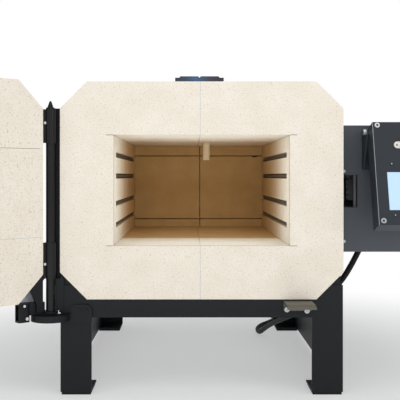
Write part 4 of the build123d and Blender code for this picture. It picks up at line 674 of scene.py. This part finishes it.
# Studio: a pale floor, soft boxes before and above the oven, and an even white surround
# that camera rays and rays through glass see as plain white.
floor_mesh = bpy.data.meshes.new("floor")
floor_mesh.from_pydata([(-9, -9, 0), (9, -9, 0), (9, 9, 0), (-9, 9, 0)], [], [(0, 1, 2, 3)])
floor = bpy.data.objects.new("floor", floor_mesh)
bpy.context.scene.collection.objects.link(floor)
floor_material = new_material("floor", (0.93, 0.93, 0.93), 0.9, specular=0.1)
tree = floor_material.node_tree
place = add_node(tree, "ShaderNodeTexCoord")
distance = add_node(tree, "ShaderNodeVectorMath", operation="LENGTH")
FADE = {"From Min": 0.30, "From Max": 0.95, "To Min": 0.40}
fade = add_node(tree, "ShaderNodeMapRange", FADE, interpolation_type="SMOOTHSTEP")
glow = add_node(tree, "ShaderNodeEmission", {"Color": (1, 1, 1, 1), "Strength": 1.0})
both = add_node(tree, "ShaderNodeMixShader")
link(tree, place.outputs["Object"], distance.inputs[0])
link(tree, distance.outputs["Value"], fade.inputs["Value"])
link(tree, fade.outputs["Result"], both.inputs[0])
link(tree, tree.nodes["Principled BSDF"].outputs["BSDF"], both.inputs[1])
link(tree, glow.outputs["Emission"], both.inputs[2])
link(tree, both.outputs["Shader"], tree.nodes["Material Output"].inputs["Surface"])
floor_mesh.materials.append(floor_material)


def soft_box(name, place, aim, size, power):
    lamp = bpy.data.lights.new(name, "AREA")
    lamp.shape = "RECTANGLE"
    lamp.size, lamp.size_y = size
    lamp.energy = power
    made = bpy.data.objects.new(name, lamp)
    bpy.context.scene.collection.objects.link(made)
    made.location = place
    heading = np.array(aim) - np.array(place)
    yaw = math.atan2(heading[0], -heading[1])
    pitch = math.atan2(math.hypot(heading[0], heading[1]), -heading[2])
    made.rotation_euler = (pitch, 0, yaw + math.pi)
    made.visible_camera = False
    return lamp


soft_box("front box", (0.1, -2.9, 0.75), (0, -0.2, 0.28), (1.1, 0.8), 5.6)
soft_box("left box", (-1.9, -1.9, 0.9), (0.1, -0.1, 0.3), (1.3, 1.2), 7.6)
soft_box("right box", (1.9, -1.9, 0.9), (-0.1, -0.1, 0.3), (1.3, 1.2), 9.4)
soft_box("top box", (0.1, -1.5, 2.0), (0, -0.2, 0.25), (1.8, 1.2), 9.4)
soft_box("bounce", (0, -0.85, 0.02), (0, -0.6, 0.6), (1.5, 0.5), 2)
chamber_y = FRONT + 0.24
inside = [
    soft_box("chamber opening", (0, FRONT + 0.005, 0.2912), (0, 0, 0.2912), (0.22, 0.13), 0.10),
    soft_box("chamber roof", (0, chamber_y, 0.285), (0, chamber_y, 1), (0.18, 0.36), 0.058),
    soft_box("chamber floor", (0, chamber_y, 0.297), (0, chamber_y, -1), (0.18, 0.36), 0.042),
]
for lamp in inside:
    lamp.color = (0.88, 0.95, 1.0)

world = bpy.data.worlds.new("studio")
bpy.context.scene.world = world
world.use_nodes = True
sky = world.node_tree
light_path = add_node(sky, "ShaderNodeLightPath")
seen = add_node(sky, "ShaderNodeMath", operation="MAXIMUM")
white = add_node(sky, "ShaderNodeBackground", {"Color": (1, 1, 1, 1), "Strength": 1.0})
ambient = sky.nodes["Background"]
ambient.inputs["Color"].default_value = (0.96, 0.98, 1.0, 1.0)
ambient.inputs["Strength"].default_value = 0.42
choose = add_node(sky, "ShaderNodeMixShader")
link(sky, light_path.outputs["Is Camera Ray"], seen.inputs[0])
link(sky, light_path.outputs["Is Transmission Ray"], seen.inputs[1])
link(sky, seen.outputs["Value"], choose.inputs[0])
link(sky, ambient.outputs["Background"], choose.inputs[1])
link(sky, white.outputs["Background"], choose.inputs[2])
link(sky, choose.outputs["Shader"], sky.nodes["World Output"].inputs["Surface"])
